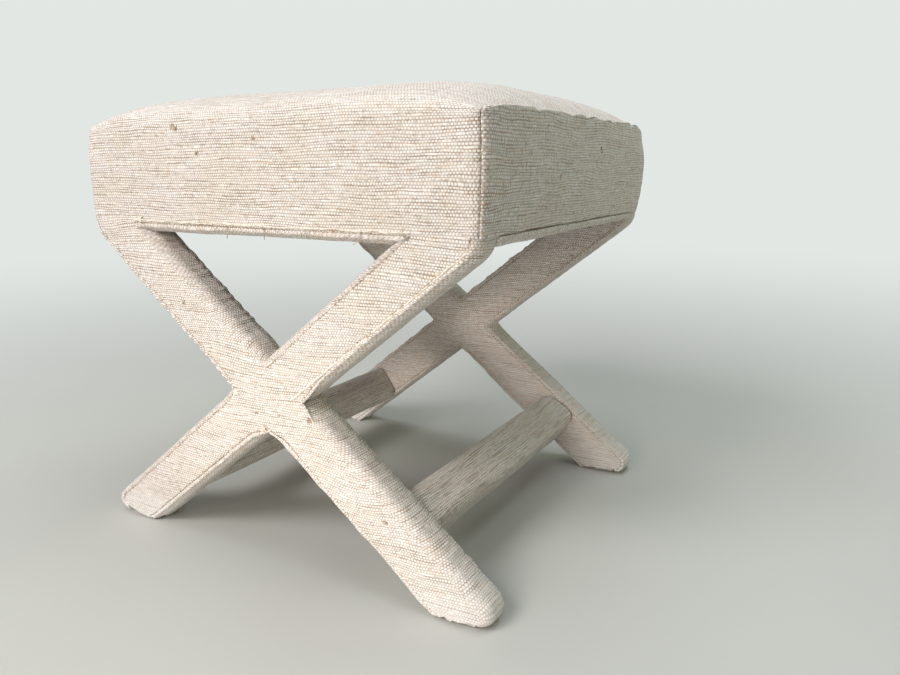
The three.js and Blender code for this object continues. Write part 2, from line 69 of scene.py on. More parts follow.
# How the crown rises: a firm plateau over the sides, a fast rise behind the folds
CROWN_WIDTH_POWER = 8
CROWN_WIDTH_EASE = 1.18
CROWN_DEPTH_POWER = 3.2
CROWN_DEPTH_EASE = 0.56
CROWN_SAMPLES = 4001

# The share of the bulge at the seat's corners: front left and right, rear left and right
CORNER_BULGE_SHARES = ((0.15, 0.7), (0.5, 1.0))

# How far each top corner is drawn in, in the same order, how much of that goes sideways and
# down, and how far from the corner it is felt
CORNER_DRAWS = ((0.0035, 0.0030), (0.0070, 0.0070))
DRAW_IN_SHARE = 0.7
DRAW_DOWN_SHARE = 0.45
CORNER_SPREAD = np.array([0.036, 0.036, 0.026])

# The rolled strip under each side panel
HEM_DEPTH = 0.022
HEM_RADIUS = 0.005
HEM_OVERLAP = 0.009
HEM_TUCK = 0.0022

# The crossed frames
LEG_WIDTH = 0.057
CROSSING_HEIGHT = 0.179
LEG_MEETING_DROP = 0.004
FRAME_THICKNESS = 0.036
FRAME_EDGE_RADIUS = 0.012
TOE_RADIUS = 0.015
ARM_CORNER_RADIUS = 0.026
BAND_OVERLAP = 0.005
FOOT_CLEARANCE = 0.0004
FACE_CROWN = 0.0014

# How much of the seam's border the cloth is drawn into each notch of the cross, on the outer
# and the inner face, and how far from the notch it is felt: top, bottom, left and right
NOTCH_WAYS = ((0, 1), (0, -1), (-1, 0), (1, 0))
OUTER_PULL_SHARES = (0.15, 0.9, 0.5, 1.0)
INNER_PULL_SHARES = (0.2, 0.5, 0.1, 0.1)
PULL_SPREADS = (0.016, 0.018, 0.016, 0.034)

# The frayed lower edge of the feet, and the open place on the outer side of one foot in each frame
FRAY_HEIGHT = 0.010
FRAY_RISE = 0.0034
FRAY_SIZE = 0.0050
FRAY_LEVEL_SHARE = 0.1
FRAY_FADE_POWER = 1.5
HOLE_PLACE = 0.2006
HOLE_WIDTH = 0.0045
HOLE_HEIGHT = 0.0042
HOLE_FADE_POWER = 3

# The stretchers. The sleeve's two ends meet on the underside, at shares of the half width.
STRETCHER_SIZE = 0.048
STRETCHER_EDGE_RADIUS = 0.012
STRETCHER_TWIST = math.radians(5)
SLEEVE_START_SHARE = 0.35
SLEEVE_STOP_SHARE = 0.33
SLEEVE_END_DIP_SHARE = 0.8
SLEEVE_SEAM_DIP_SHARE = 0.6

# The soles and the lining
SOLE_MARGIN = 0.003
SOLE_SIDE_MARGIN = 0.0028
SOLE_HEIGHT = 0.0003
SOLE_RIM = 0.006
SOLE_RIM_WIDTH = 0.0018
SOLE_THICKNESS = 0.001
SOLE_COUNTS = (40, 36)
LINING_SAG = 0.0016
LINING_RIPPLE = 0.0004
LINING_RIPPLE_SIZE = 0.03
LINING_GAP = 0.0005
LINING_THICKNESS = 0.0005
LINING_COUNTS = (90, 74)

# The cover: how far each face's seams lie from the edge, how many borders inside it the core of
# a strip lies, and how much looser the side panels are
BORDER = 0.008
INNER_BORDER = 0.0055
CORE_SHARE = 1.6
CLOTH_THICKNESS = 0.0012
FIT_GAP = 0.0003
WELD = 0.00002
SIDE_SLACK = 1.7

# The cloth's relief: lumps of padding, ribs that run thick and thin, and ribs that sway
PAD_LUMP = 0.0008
PAD_LUMP_SIZE = 0.085
PAD_RIPPLE = 0.00035
PAD_RIPPLE_SIZE = 0.024
RIB_STREAK = 0.00022
RIB_STREAK_SIZE = (0.040, 0.0052, 1)
FINE_STREAK_SHARE = 0.6
FINE_STREAK_SIZE = (0.014, 0.0040, 1)
STREAK_PLACE_STEP = 0.0371
RIB_SWAY = 0.006
RIB_SWAY_SIZE = 0.055

# The cloth beside a seam: how deep and how wide it dips at the stitches, and how high, how far
# from the seam and how wide the roll beside them is
FACE_EDGE = (0.0009, 0.0009, 0.0003, 0.0032, 0.0016)
CORNER_EDGE = (0.0006, 0.0006, 0.0002, 0.0018, 0.0010)
WELT_EDGE = (0.0009, 0.0007, 0.0017, 0.0028, 0.0017)

# How unevenly a roll runs: the length of its waves and their share of its height
BAND_WAVE_LENGTH = 0.016
BAND_WAVE_SHARE = 0.45
SIDE_WAVE_LENGTH = 0.013
SIDE_WAVE_SHARE = 0.8
HEM_WAVE_LENGTH = 0.011
HEM_WAVE_SHARE = 0.7

# The five pieces of a frame's edge band
BAND_PLACES = ("top", "rail", "bottom", "right", "left")

# The edge band where it is tucked under the seat, and where its stitches pull it into scallops
TUCK_START = 3
TUCK_DEPTH = 0.0011
SCALLOP = 0.0010
SCALLOP_PITCH = 0.0095
SCALLOP_REACH = 0.003
SCALLOP_WIDTH = 0.004

# The puckers of the edge that is drawn on without a seam
PUCKER = 0.0009
PUCKER_SIZES = ((0.0100, 0.011, 1), (0.0045, 0.006, 1))
PUCKER_REACH_SHARE = 0.25
PUCKER_START_FADE = 0.006
PUCKER_END_FADE = 0.004
WRAP_DIP = 0.0004
WRAP_DIP_WIDTH = 0.0009

# Stitches
STITCH_PITCH = 0.0044
STITCH_LENGTH = 0.0030
STITCH_LENGTH_SHARES = (0.75, 1.2)
STITCH_RADIUS = 0.00034
CORNER_STITCH_PITCH = 0.0036
CORNER_STITCH_RADIUS = 0.00026
STITCH_INSET = 0.0012
STITCH_STRAY = 0.0003
STITCH_MISSING_SHARE = 0.12
STITCH_ARCH_SHARES = np.array([-1.3, 0.35, 0.6, 0.35, -1.3])
STITCH_TAPER_SHARES = np.array([0.5, 1.0, 1.0, 1.0, 0.5])

# The folded edge of cloth that stands up along a seam
RIDGE_STEP = 0.0012
RIDGE_WAVE = 0.0008
RIDGE_WAVE_LENGTH = 0.011
RIDGE_SWELL_SHARE = 0.35
RIDGE_STITCH_SHARE = 0.2
RAIL_RIDGE_RISE = 0.0016
RAIL_RIDGE_RADIUS = 0.0007
ARM_RIDGE_RADIUS = 0.0011

# A slub is a knot of short ends of yarn, and its forms are shares of its size
SLUB_ENDS = 4
SLUB_POINTS = 9
SLUB_BEND_SHARE = 0.35
SLUB_STRAY_SHARE = 0.25
SLUB_HALF_LENGTH_SHARE = 0.5
SLUB_ARCH_SHARE = 0.16
SLUB_TIP_SHARE = 0.03
SLUB_SWELL_SHARE = 0.07
SLUB_SINK = 0.0002

# Loose threads
THREAD_RADIUS = 0.00022
RAIL_THREAD_RADIUS = 0.0004
THREAD_POINTS = 10
THREAD_BEND_SHARE = 0.4
THREAD_ROOT = 0.0004
THREAD_OUT = np.array([0.0, -1.0, 0.3])

# The slubs that the front and the side show: place and size
SEAT_SLUBS = (
    ((-0.0920, -0.215, 0.4312), 0.0085),
    ((-0.0625, -0.215, 0.4069), 0.0050),
    ((0.0101, -0.215, 0.4195), 0.0045),
    ((0.2400, 0.0423, 0.4095), 0.0060),
    ((0.2400, -0.0653, 0.3847), 0.0050),
)
FRAME_SLUBS = (
    ((-0.1017, -0.208, 0.2626), 0.0050),
    ((0.0548, -0.208, 0.1632), 0.0060),
    ((0.1389, -0.208, 0.0815), 0.0050),
    ((0.0172, -0.208, 0.1617), 0.0035),
    ((-0.0118, -0.208, 0.1598), 0.0045),
    ((0.0352, -0.208, 0.2331), 0.0040),
)

# The cream ends of cloth that stand out at the notches and beside the arm: place and size
SEAT_TABS = (((-0.1549, -0.213, 0.3412), 0.0095),)
FRAME_TABS = (
    ((0.0059, -0.208, 0.2130), 0.0100),
    ((-0.0374, -0.208, 0.1764), 0.0095),
    ((-0.0011, -0.208, 0.1440), 0.0085),
)

# Loose threads: where each leaves the cloth, and how far and which way it reaches
RAIL_THREADS = (
    ((-0.0345, -0.2140, 0.3400), (0.004, -0.004, -0.0120)),
    ((0.0114, -0.2140, 0.3400), (0.006, -0.004, -0.0110)),
    ((0.1223, -0.2140, 0.3400), (-0.005, -0.004, -0.0110)),
    ((0.1646, -0.2140, 0.3440), (0.006, -0.003, -0.0080)),
)
FOOT_THREADS = (
    ((0.2553, -0.200, 0.0200), (0.0035, -0.001, -0.0110)),
    ((0.2527, -0.195, 0.0289), (0.0060, 0.000, 0.0010)),
    ((-0.2300, -0.208, 0.0060), (-0.0030, -0.001, -0.0050)),
)

# The least length that a vector is divided by
TINY = 1e-12

# Mesh steps and counts
STEP = 0.0019
SEAT_STEP = 0.0026
FINE_STEP = 0.0005
STEP_GROWTH = 1.3
ARM_ROWS = 104
TOE_ROWS = 14
SHORT_ROWS = 5
ARC_POINTS = 12
PATH_POINTS = 200
SEAM_POINTS = 60
CORNER_SEAM_POINTS = 40
TUBE_SIDES = 6

# The two faces that close the end of a thread of six sides
CAP_CORNERS = ([0, 1, 2, 3], [3, 4, 5, 0])

# Places that follow from the sizes
HALF_WIDTH = SEAT_WIDTH / 2
HALF_DEPTH = SEAT_DEPTH / 2
SEAM_HEIGHT = SEAT_UNDERSIDE + BORDER
FRAME_INNER = HALF_DEPTH - FRAME_THICKNESS
MEETING_RISE = SEAT_UNDERSIDE - LEG_MEETING_DROP - CROSSING_HEIGHT
LEG_HALF = LEG_WIDTH / 2
LEG_ANGLE = math.atan2(MEETING_RISE, HALF_WIDTH) + math.asin(
    LEG_HALF / math.hypot(MEETING_RISE, HALF_WIDTH)
)
COS = math.cos(LEG_ANGLE)
SIN = math.sin(LEG_ANGLE)
TOE_REACH = TOE_RADIUS / math.tan(LEG_ANGLE / 2)
TOE_CENTRE_X = (CROSSING_HEIGHT + LEG_HALF / COS) * COS / SIN - TOE_REACH
CORNER_SEAM_SHARE = (CORNER_RADIUS - PANEL_EDGE) / CORNER_RADIUS
CROSSING = np.array([0.0, CROSSING_HEIGHT])
SEAT_MIDDLE = np.array([0.0, 0.0, (SEAT_UNDERSIDE + SEAT_SHOULDER) / 2])
ABOVE_FEET = np.array([0.0, 0.0, CROSSING_HEIGHT])

# What turns the front frame into the rear one, and a flat line into its mirror image
HALF_TURN = np.array([-1.0, -1.0, 1.0])
MIRROR = np.array([-1.0, 1.0])

# The hash behind the noise: a step for each axis and seed, then shifts and factors that mix
AXIS_STEPS = (374761393, 668265263, 974634777)
SEED_STEP = 1442695041
MIXING = ((15, 2246822519), (13, 3266489917), (16, 1))
WORD_BITS = 0xFFFFFFFF
VALUE_BITS = 0xFFFFFF


# Repeatable smooth noise

def lattice_values(cells, seed):
    """A repeatable value from -1 to 1 for each cell of a lattice."""
    mixed = sum(cells[..., axis] * step for axis, step in enumerate(AXIS_STEPS))
    mixed = (mixed + seed * SEED_STEP) & WORD_BITS
    for shift, factor in MIXING:
        mixed = ((mixed ^ (mixed >> shift)) * factor) & WORD_BITS
    return (mixed & VALUE_BITS) / (VALUE_BITS // 2) - 1


def smooth_noise(points, size, seed):
    """Noise from -1 to 1 whose lumps are about a size across."""
    scaled = points / np.asarray(size)
    base = np.floor(scaled).astype(np.int64)
    part = scaled - base
    ease = part * part * (3 - 2 * part)
    total = np.zeros(points.shape[:-1])
    for corner in np.ndindex(2, 2, 2):
        weight = np.prod(np.where(np.array(corner) == 1, ease, 1 - ease), axis=-1)
        total += weight * lattice_values(base + np.array(corner), seed)
    return total


def line_noise(run, length, seed):
    """Noise from -1 to 1 along a line, whose waves are about a length long."""
    return smooth_noise(stacked(run, 0.0, 0.0), length, seed)


# Curves, blends and points

def bell(distance, width):
    """A smooth bump of height 1 that fades over a width."""
    return np.exp(-((distance / width) ** 2))


def arch(share):
    """A curve that is 1 half way along and 0 at both ends."""
    return 1 - (2 * share - 1) ** 2


def blend(first, second, share):
    """What lies between two values at a share of the way."""
    return first * (1 - share) + second * share


def from_ends(distances):
    """How far each of some rising distances is from the nearer end of them."""
    return np.minimum(distances - distances[0], distances[-1] - distances)


def stacked(*parts):
    """Coordinates as points, each spread over the same rows and columns."""
    return np.stack(np.broadcast_arrays(*parts), axis=-1)


# Lines

def graded(length, step, fine_start=True, fine_end=True):
    """Distances from zero to a length, close together at an end that has a seam."""
    ramp = [0.0]
    gap = FINE_STEP
    while gap < step:
        ramp.append(ramp[-1] + gap)
        gap *= STEP_GROWTH
    ramp = np.array(ramp)
    head = ramp if fine_start else np.zeros(1)
    tail = length - ramp[::-1] if fine_end else np.full(1, length)
    count = max(int(round((tail[0] - head[-1]) / step)), 1)
    middle = np.linspace(head[-1], tail[0], count + 1)
    return np.concatenate([head[:-1], middle, tail[1:]])


def along(start, end, count):
    """Evenly spaced points from one place to another."""
    return blend(np.asarray(start), np.asarray(end), np.linspace(0, 1, count)[:, None])


def reach_along(line):
    """The distance of each of a line's points from its start."""
    lengths = np.linalg.norm(np.diff(line, axis=0), axis=1)
    return np.concatenate([[0.0], np.cumsum(lengths)])


def places_on(line, wanted):
    """The places on a line at some distances from its start."""
    reached = reach_along(line)
    return np.stack([np.interp(wanted, reached, values) for values in line.T], -1)


def respaced(line, count):
    """A line's points moved to even distances along it."""
    return places_on(line, np.linspace(0, reach_along(line)[-1], count))


def fillet(before, corner, after, radius, count):
    """The arc that rounds a corner of an outline."""
    back = (before - corner) / np.linalg.norm(before - corner)
    on = (after - corner) / np.linalg.norm(after - corner)
    half = math.acos(float(back @ on)) / 2
    middle = (back + on) / np.linalg.norm(back + on)
    centre = corner + middle * radius / math.sin(half)
    start = corner + back * radius / math.tan(half) - centre
    end = corner + on * radius / math.tan(half) - centre
    sweep = math.atan2(start[0] * end[1] - start[1] * end[0], float(start @ end))
    turns = np.linspace(0, sweep, count)
    cosines = np.cos(turns)
    sines = np.sin(turns)
    x = start[0] * cosines - start[1] * sines
    z = start[0] * sines + start[1] * cosines
    return centre + stacked(x, z)


# Cloth as grids of points

class Grid:
    """Cloth as rows and columns of points, with its own coordinates and a lift for its seams.

    cloth holds the distance along the ribs and the distance across them.
    core is a point inside the padding, or one for each row, that tells which side is out.
    """

    def __init__(self, points, cloth, core, lift=0.0, slack=1.0):
        self.points = np.asarray(points, float)
        self.cloth = np.asarray(cloth, float)
        shape = self.points.shape[:2]
        self.lift = np.broadcast_to(lift, shape).astype(float)
        self.slack = np.broadcast_to(slack, shape).astype(float)
        across = self.points[:-1, 1:] - self.points[:-1, :-1]
        up = self.points[1:, :-1] - self.points[:-1, :-1]
        outward = self.points[:-1, :-1] - core
        if np.sum(np.cross(across, up) * outward) < 0:
            self.points = self.points[:, ::-1]
            self.cloth = self.cloth[:, ::-1]
            self.lift = self.lift[:, ::-1]
            self.slack = self.slack[:, ::-1]


def grid_faces(rows, columns, start):
    """The four corners of each cell of a grid whose points begin at a number."""
    index = start + np.arange(rows * columns).reshape(rows, columns)
    corners = [index[:-1, :-1], index[:-1, 1:], index[1:, 1:], index[1:, :-1]]
    return np.stack(corners, -1).reshape(-1, 4)


def point_normals(points, faces):
    """The surface's direction at each point."""
    first, second, third, fourth = (points[faces[:, corner]] for corner in range(4))
    face_normals = np.cross(third - first, fourth - second)
    total = np.zeros_like(points)
    for corner in range(4):
        np.add.at(total, faces[:, corner], face_normals)
    return total / np.maximum(np.linalg.norm(total, axis=1, keepdims=True), TINY)


def cloth_relief(points, cloth, slack, seed):
    """How far the cloth stands out or sinks: padding lumps, ribs that run thick and thin."""
    flat = stacked(cloth[:, 0], cloth[:, 1], seed * STREAK_PLACE_STEP)
    relief = PAD_LUMP * smooth_noise(points, PAD_LUMP_SIZE, seed)
    relief += PAD_RIPPLE * smooth_noise(points, PAD_RIPPLE_SIZE, seed + 1)
    relief += RIB_STREAK * smooth_noise(flat, RIB_STREAK_SIZE, seed + 2)
    relief += RIB_STREAK * FINE_STREAK_SHARE * smooth_noise(flat, FINE_STREAK_SIZE, seed + 3)
    return relief * slack


def new_mesh(name, points, faces):
    """A smooth mesh object."""
    mesh = bpy.data.meshes.new(name)
    mesh.from_pydata(points.tolist(), [], faces.tolist())
    mesh.shade_smooth()
    item = bpy.data.objects.new(name, mesh)
    bpy.context.scene.collection.objects.link(item)
    return item


def cover(name, grids, seed, turned=False, thickness=CLOTH_THICKNESS, after=None):
    """A cloth cover of joined grids, with its relief, its map and its thickness."""
    starts = np.cumsum([0] + [grid.points[..., 0].size for grid in grids])
    points = np.concatenate([grid.points.reshape(-1, 3) for grid in grids])
    cloth = np.concatenate([grid.cloth.reshape(-1, 2) for grid in grids])
    lift = np.concatenate([grid.lift.reshape(-1) for grid in grids])
    slack = np.concatenate([grid.slack.reshape(-1) for grid in grids])
    faces = np.concatenate(
        [grid_faces(*grid.points.shape[:2], start) for grid, start in zip(grids, starts)]
    )
    cells = np.round(points / WELD).astype(np.int64)
    _, first, welded = np.unique(cells, axis=0, return_index=True, return_inverse=True)
    corner_cloth = cloth[faces]
    faces = welded.reshape(-1)[faces]
    whole = np.array([len(set(face)) == 4 for face in faces.tolist()])
    faces = faces[whole]
    points = points[first]
    relief = cloth_relief(points, cloth[first], slack[first], seed)
    points = points + point_normals(points, faces) * (lift[first] + relief)[:, None]
    if after is not None:
        points = after(points)
    if turned:
        points = points * HALF_TURN
    item = new_mesh(name, points, faces)
    layer = item.data.uv_layers.new(name="cloth")
    layer.data.foreach_set("uv", corner_cloth[whole].reshape(-1))
    shell = item.modifiers.new("cloth thickness", "SOLIDIFY")
    shell.thickness = thickness
    shell.offset = -1
    return item


def beside_seam(distance, shape):
    """How the cloth dips to the stitches of a seam and rolls up beside them."""
    dip, dip_width, roll, roll_place, roll_width = shape
    return roll * bell(distance - roll_place, roll_width) - dip * bell(distance, dip_width)


# The outline of a leg, in X and Z

def leg_point(along_leg, across_leg):
    """A point of the rising leg, along it from the crossing and across it from its middle."""
    x = along_leg * COS - across_leg * SIN
    z = CROSSING_HEIGHT + along_leg * SIN + across_leg * COS
    return stacked(x, z)


def upper_arm_edge(side, inset, lean):
    """A leg's edge line over the crossing, going up. The rising leg's lean is 1, the other's -1."""
    across = side * (LEG_HALF - inset)
    if side > 0:
        start = leg_point(across * SIN / COS, across)
        along_end = (SEAT_UNDERSIDE + inset - CROSSING_HEIGHT - across * COS) / SIN
        line = along(start, leg_point(along_end, across), ARM_ROWS)
    else:
        start = leg_point(-across * COS / SIN, across)
        corner_x = HALF_WIDTH - inset
        corner = leg_point((corner_x + across * SIN) / COS, across)
        top = np.array([corner_x, SEAM_HEIGHT + BAND_OVERLAP])
        arc = fillet(start, corner, top, ARM_CORNER_RADIUS - inset, TOE_ROWS)
        leaning = along(start, arc[0], ARM_ROWS)
        upright = along(arc[-1], top, SHORT_ROWS)
        line = respaced(np.concatenate([leaning, arc[1:], upright[1:]]), ARM_ROWS)
    return line * np.array([lean, 1.0])


def lower_arm_edge(side, inset, lean):
    """A leg's edge line under the crossing, going down to the floor."""
    across = side * (LEG_HALF - inset)
    if side > 0:
        start = leg_point(-across * COS / SIN, across)
        centre = np.array([-TOE_CENTRE_X, TOE_RADIUS])
        turns = np.linspace(math.pi / 2 + LEG_ANGLE, 3 * math.pi / 2, TOE_ROWS)
        arc = centre + (TOE_RADIUS - inset) * stacked(np.cos(turns), np.sin(turns))
        line = np.concatenate([along(start, arc[0], ARM_ROWS - TOE_ROWS + 1), arc[1:]])
    else:
        start = leg_point(across * SIN / COS, across)
        along_end = (FOOT_CLEARANCE - CROSSING_HEIGHT - across * COS) / SIN
        line = along(start, leg_point(along_end, across), ARM_ROWS)
    return line * np.array([lean, 1.0])


def drawn_to_notches(flat, outer, share=1.0):
    """Seam points near the notches of the cross, moved towards them by a share."""
    border = BORDER if outer else INNER_BORDER
    pulls = OUTER_PULL_SHARES if outer else INNER_PULL_SHARES
    moved = flat.copy()
    for way, pull, spread in zip(NOTCH_WAYS, pulls, PULL_SPREADS):
        reach = SIN if way[0] else COS
        notch = CROSSING + np.array(way) * (LEG_HALF - border) / reach
        offset = np.array(way) * border / reach * pull
        weight = bell(np.linalg.norm(flat - notch, axis=-1), spread) * share
        moved += offset * weight[..., None]
    return moved


# The edge band

def edge_section():
    """The way over a frame's edge: distance from the seam, inset and depth at each column."""
    starts = [math.asin(1 - border / FRAME_EDGE_RADIUS) for border in (BORDER, INNER_BORDER)]
    arcs = [FRAME_EDGE_RADIUS * (math.pi / 2 - start) for start in starts]
    flat_length = FRAME_THICKNESS - 2 * FRAME_EDGE_RADIUS
    total = sum(arcs) + flat_length
    reach = graded(total, STEP)
    first = np.minimum(reach, arcs[0]) / FRAME_EDGE_RADIUS + starts[0]
    last = np.minimum(total - reach, arcs[1]) / FRAME_EDGE_RADIUS + starts[1]
    outer = reach < arcs[0] + flat_length / 2
    turn = np.where(outer, first, last)
    inset = FRAME_EDGE_RADIUS * (1 - np.sin(turn))
    past = np.where(outer, reach - arcs[0], total - reach - arcs[1])
    depth = FRAME_EDGE_RADIUS * (1 - np.cos(turn)) + np.maximum(past, 0)
    return reach, inset, np.where(outer, depth, FRAME_THICKNESS - depth)


EDGE_REACH, EDGE_INSET, EDGE_DEPTH = edge_section()


def strip_sheet(edge, seam, lift):
    """A strip of cloth over a frame's edge, from one seam to the other, its ribs across it."""
    flat = blend(edge[:, None], seam[:, None], (EDGE_INSET / BORDER)[None, :, None])
    half = len(EDGE_INSET) // 2
    outer_share = EDGE_INSET[:half] / BORDER
    inner_share = EDGE_INSET[half:] / INNER_BORDER
    flat[:, :half] = drawn_to_notches(flat[:, :half], True, outer_share)
    flat[:, half:] = drawn_to_notches(flat[:, half:], False, inner_share)
    points = stacked(flat[..., 0], -HALF_DEPTH + EDGE_DEPTH, flat[..., 1])
    cloth = stacked(EDGE_REACH[None, :], reach_along(seam)[:, None])
    deep = edge + (seam - edge) * CORE_SHARE
    core = stacked(deep[:, 0], -HALF_DEPTH + FRAME_THICKNESS / 2, deep[:, 1])
    return Grid(points, cloth, core[:-1, None], lift)


def edge_strip(edge, seam, seed, tucked=False, scallop=0.0):
    """A strip of the edge band, with a soft roll along each seam."""
    run = reach_along(seam)[:, None]
    to_inner = EDGE_REACH[-1] - EDGE_REACH
    lift = beside_seam(EDGE_REACH, WELT_EDGE) + beside_seam(to_inner, WELT_EDGE)
    lift = lift * (1 + BAND_WAVE_SHARE * line_noise(run, BAND_WAVE_LENGTH, seed))
    pull = np.sin(run * 2 * math.pi / SCALLOP_PITCH)
    lift = lift + scallop * pull * bell(EDGE_REACH - SCALLOP_REACH, SCALLOP_WIDTH)
    if tucked:
        past = np.clip((seam[:, 1:] - SEAM_HEIGHT) / BAND_OVERLAP, -TUCK_START, 1)
        lift = lift * np.clip(-past / TUCK_START, 0, 1) - TUCK_DEPTH * np.clip(past, 0, 1)
    return strip_sheet(edge, seam, lift)


def wrapped_strip(edge, seam, seed):
    """The soft edge that is drawn on over without a raised seam, puckered across."""
    place = stacked(reach_along(seam)[:, None], EDGE_REACH * PUCKER_REACH_SHARE, 0.0)
    pucker = sum(
        PUCKER * smooth_noise(place, size, seed + number)
        for number, size in enumerate(PUCKER_SIZES)
    )
    to_inner = EDGE_REACH[-1] - EDGE_REACH
    start_fade = np.clip(EDGE_REACH / PUCKER_START_FADE, 0, 1)
    end_fade = np.clip(to_inner / PUCKER_END_FADE, 0, 1)
    lift = pucker * (start_fade * end_fade) + beside_seam(to_inner, WELT_EDGE)
    lift = lift - WRAP_DIP * bell(EDGE_REACH, WRAP_DIP_WIDTH)
    return strip_sheet(edge, seam, lift)


def band_strip(edge_of, side, lean, seed):
    """The edge band along one edge of a leg. Where it passes the seat it is tucked under."""
    tucked = edge_of is upper_arm_edge and side < 0
    scallop = SCALLOP if tucked and lean < 0 else 0.0
    edge, seam = (edge_of(side, inset, lean) for inset in (0, BORDER))
    return edge_strip(edge, seam, seed, tucked, scallop)


def rail_strip(seed):
    """The edge band along the top of the open triangle, under the seat."""
    edge_end, seam_end = (upper_arm_edge(1, inset, 1)[-1] for inset in (0, BORDER))
    rows = int(2 * edge_end[0] / STEP)
    edge, seam = (along(end * MIRROR, end, rows) for end in (edge_end, seam_end))
    return edge_strip(edge, seam, seed)


def frame_bands(seed):
    """A frame's edge band in five pieces: the place, the seed and the strips of each."""
    upper = upper_arm_edge
    lower = lower_arm_edge
    bottom = [band_strip(lower, -1, 1, seed + 14), band_strip(lower, -1, -1, seed + 15)]
    left = [band_strip(upper, -1, -1, seed + 16), band_strip(lower, 1, 1, seed + 17)]
    return (
        ("top", seed + 20, [band_strip(upper, 1, 1, seed + 12)]),
        ("rail", seed + 21, [rail_strip(seed + 11)]),
        ("right", seed + 22, [band_strip(upper, -1, 1, seed + 13)]),
        ("bottom", seed + 23, bottom),
        ("left", seed + 24, left),
    )


# The faces of a frame

def seam_depth(border):
    """How far behind the frame's face its seam lies."""
    return FRAME_EDGE_RADIUS * (1 - math.cos(math.asin(1 - border / FRAME_EDGE_RADIUS)))


OUTER_FACE = -HALF_DEPTH + seam_depth(BORDER)
INNER_FACE = -FRAME_INNER - seam_depth(INNER_BORDER)


def face_shares(outer):
    """The columns of a leg's face, as shares of the way from one seam to the other."""
    width = LEG_WIDTH - 2 * (BORDER if outer else INNER_BORDER)
    return graded(width, STEP) / width


def face_sheet(flat, outer, lift):
    """A sheet of face cloth at its depth, drawn into the notches, its ribs swaying."""
    drawn = drawn_to_notches(flat, outer)
    points = stacked(drawn[..., 0], OUTER_FACE if outer else INNER_FACE, drawn[..., 1])
    core = points[:-1, :-1].copy()
    core[..., 1] = -FRAME_INNER - FRAME_THICKNESS / 2
    cloth = drawn.copy()
    cloth[..., 1] += RIB_SWAY * smooth_noise(points, RIB_SWAY_SIZE, seed=31)
    return Grid(points, cloth, core, lift)


def arm_face(upper, lower, outer, upper_seam):
    """A leg's face between two seam lines, of which the upper one can be without a seam."""
    share = face_shares(outer)
    flat = blend(lower[:, None], upper[:, None], share[None, :, None])
    row_width = np.linalg.norm(upper - lower, axis=1)[:, None]
    lift = FACE_CROWN * arch(share)
    if upper_seam:
        lift = lift + beside_seam((1 - share) * row_width, FACE_EDGE)
    lift = lift + beside_seam(share * row_width, FACE_EDGE)
    return face_sheet(flat, outer, lift)


def crossing_face(outer):
    """The middle of the cross, between its four notches."""
    share = face_shares(outer)
    reach = LEG_HALF - (BORDER if outer else INNER_BORDER)
    top = leg_point(reach * SIN / COS, reach)
    right = leg_point(reach * COS / SIN, -reach)
    bottom = 2 * CROSSING - top
    left = 2 * CROSSING - right
    to_right = (right - bottom) * share[None, :, None]
    flat = bottom + to_right + (left - bottom) * share[:, None, None]
    distances = [np.linalg.norm(flat - notch, axis=-1) for notch in (top, bottom, left, right)]
    lift = sum(beside_seam(distance, FACE_EDGE) for distance in distances)
    lift += FACE_CROWN * np.maximum(arch(share)[:, None], arch(share)[None, :])
    return face_sheet(flat, outer, lift)


def face_grids(outer):
    """The cross-shaped face of a frame. Outside, the falling leg's upper edge has no seam."""
    border = BORDER if outer else INNER_BORDER
    grids = [crossing_face(outer)]
    for lean in (1, -1):
        wrapped = outer and lean < 0
        for edge_of in (upper_arm_edge, lower_arm_edge):
            upper, lower = (edge_of(side, border, lean) for side in (1, -1))
            grids.append(arm_face(upper, lower, outer, not wrapped))
            if wrapped:
                grids.append(wrapped_strip(edge_of(1, 0, lean), upper, seed=40))
    return grids


def frayed_feet(points):
    """The cloth's lower edge at the feet, frayed ragged, with one open place on the outer side."""
    low = np.clip(1 - points[..., 2] / FRAY_HEIGHT, 0, 1)
    noise = smooth_noise(points * np.array([1.0, 1.0, 0.0]), FRAY_SIZE, seed=5)
    rise = FRAY_RISE * np.maximum(noise + FRAY_LEVEL_SHARE, 0)
    outer_share = np.clip((-points[..., 1] - FRAME_INNER) / FRAME_THICKNESS, 0, 1)
    hole = HOLE_HEIGHT * bell(points[..., 0] - HOLE_PLACE, HOLE_WIDTH)
    rise += hole * outer_share**HOLE_FADE_POWER
    moved = points.copy()
    moved[..., 2] += rise * low**FRAY_FADE_POWER
    return moved


def frame_covers(side, seed):
    """All the cloth of one crossed frame. The rear one is the front one after half a turn."""
    turned = side == "rear"
    faces = []
    for place, number in (("outer", seed), ("inner", seed + 7)):
        grids = face_grids(place == "outer")
        face = cover(f"{side}_frame_{place}_cover", grids, number, turned, after=frayed_feet)
        dress(face)
        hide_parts(f"{side}_frame_{place}_panel")
        faces.append(face)
    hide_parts(f"{side}_frame_wadding")
    swapped = {"left": "right", "right": "left"} if turned else {}
    bands = {
        place: cover(f"{side}_band_{place}", grids, number, turned, after=frayed_feet)
        for place, number, grids in frame_bands(seed)
    }
    for place in BAND_PLACES:
        dress(bands[place])
        if place != "rail":
            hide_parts(f"{side}_edge_band_{swapped.get(place, place)}")
    frame_threads(side, *faces, np.random.default_rng(seed))


# The seat

def crown_share(width_share, depth_share):
    """How much of the crown's height stands at a share of the half width and half depth."""
    across = np.maximum(1 - np.abs(width_share) ** CROWN_WIDTH_POWER, 0) ** CROWN_WIDTH_EASE
    back = np.maximum(1 - np.abs(depth_share) ** CROWN_DEPTH_POWER, 0) ** CROWN_DEPTH_EASE
    return across * back


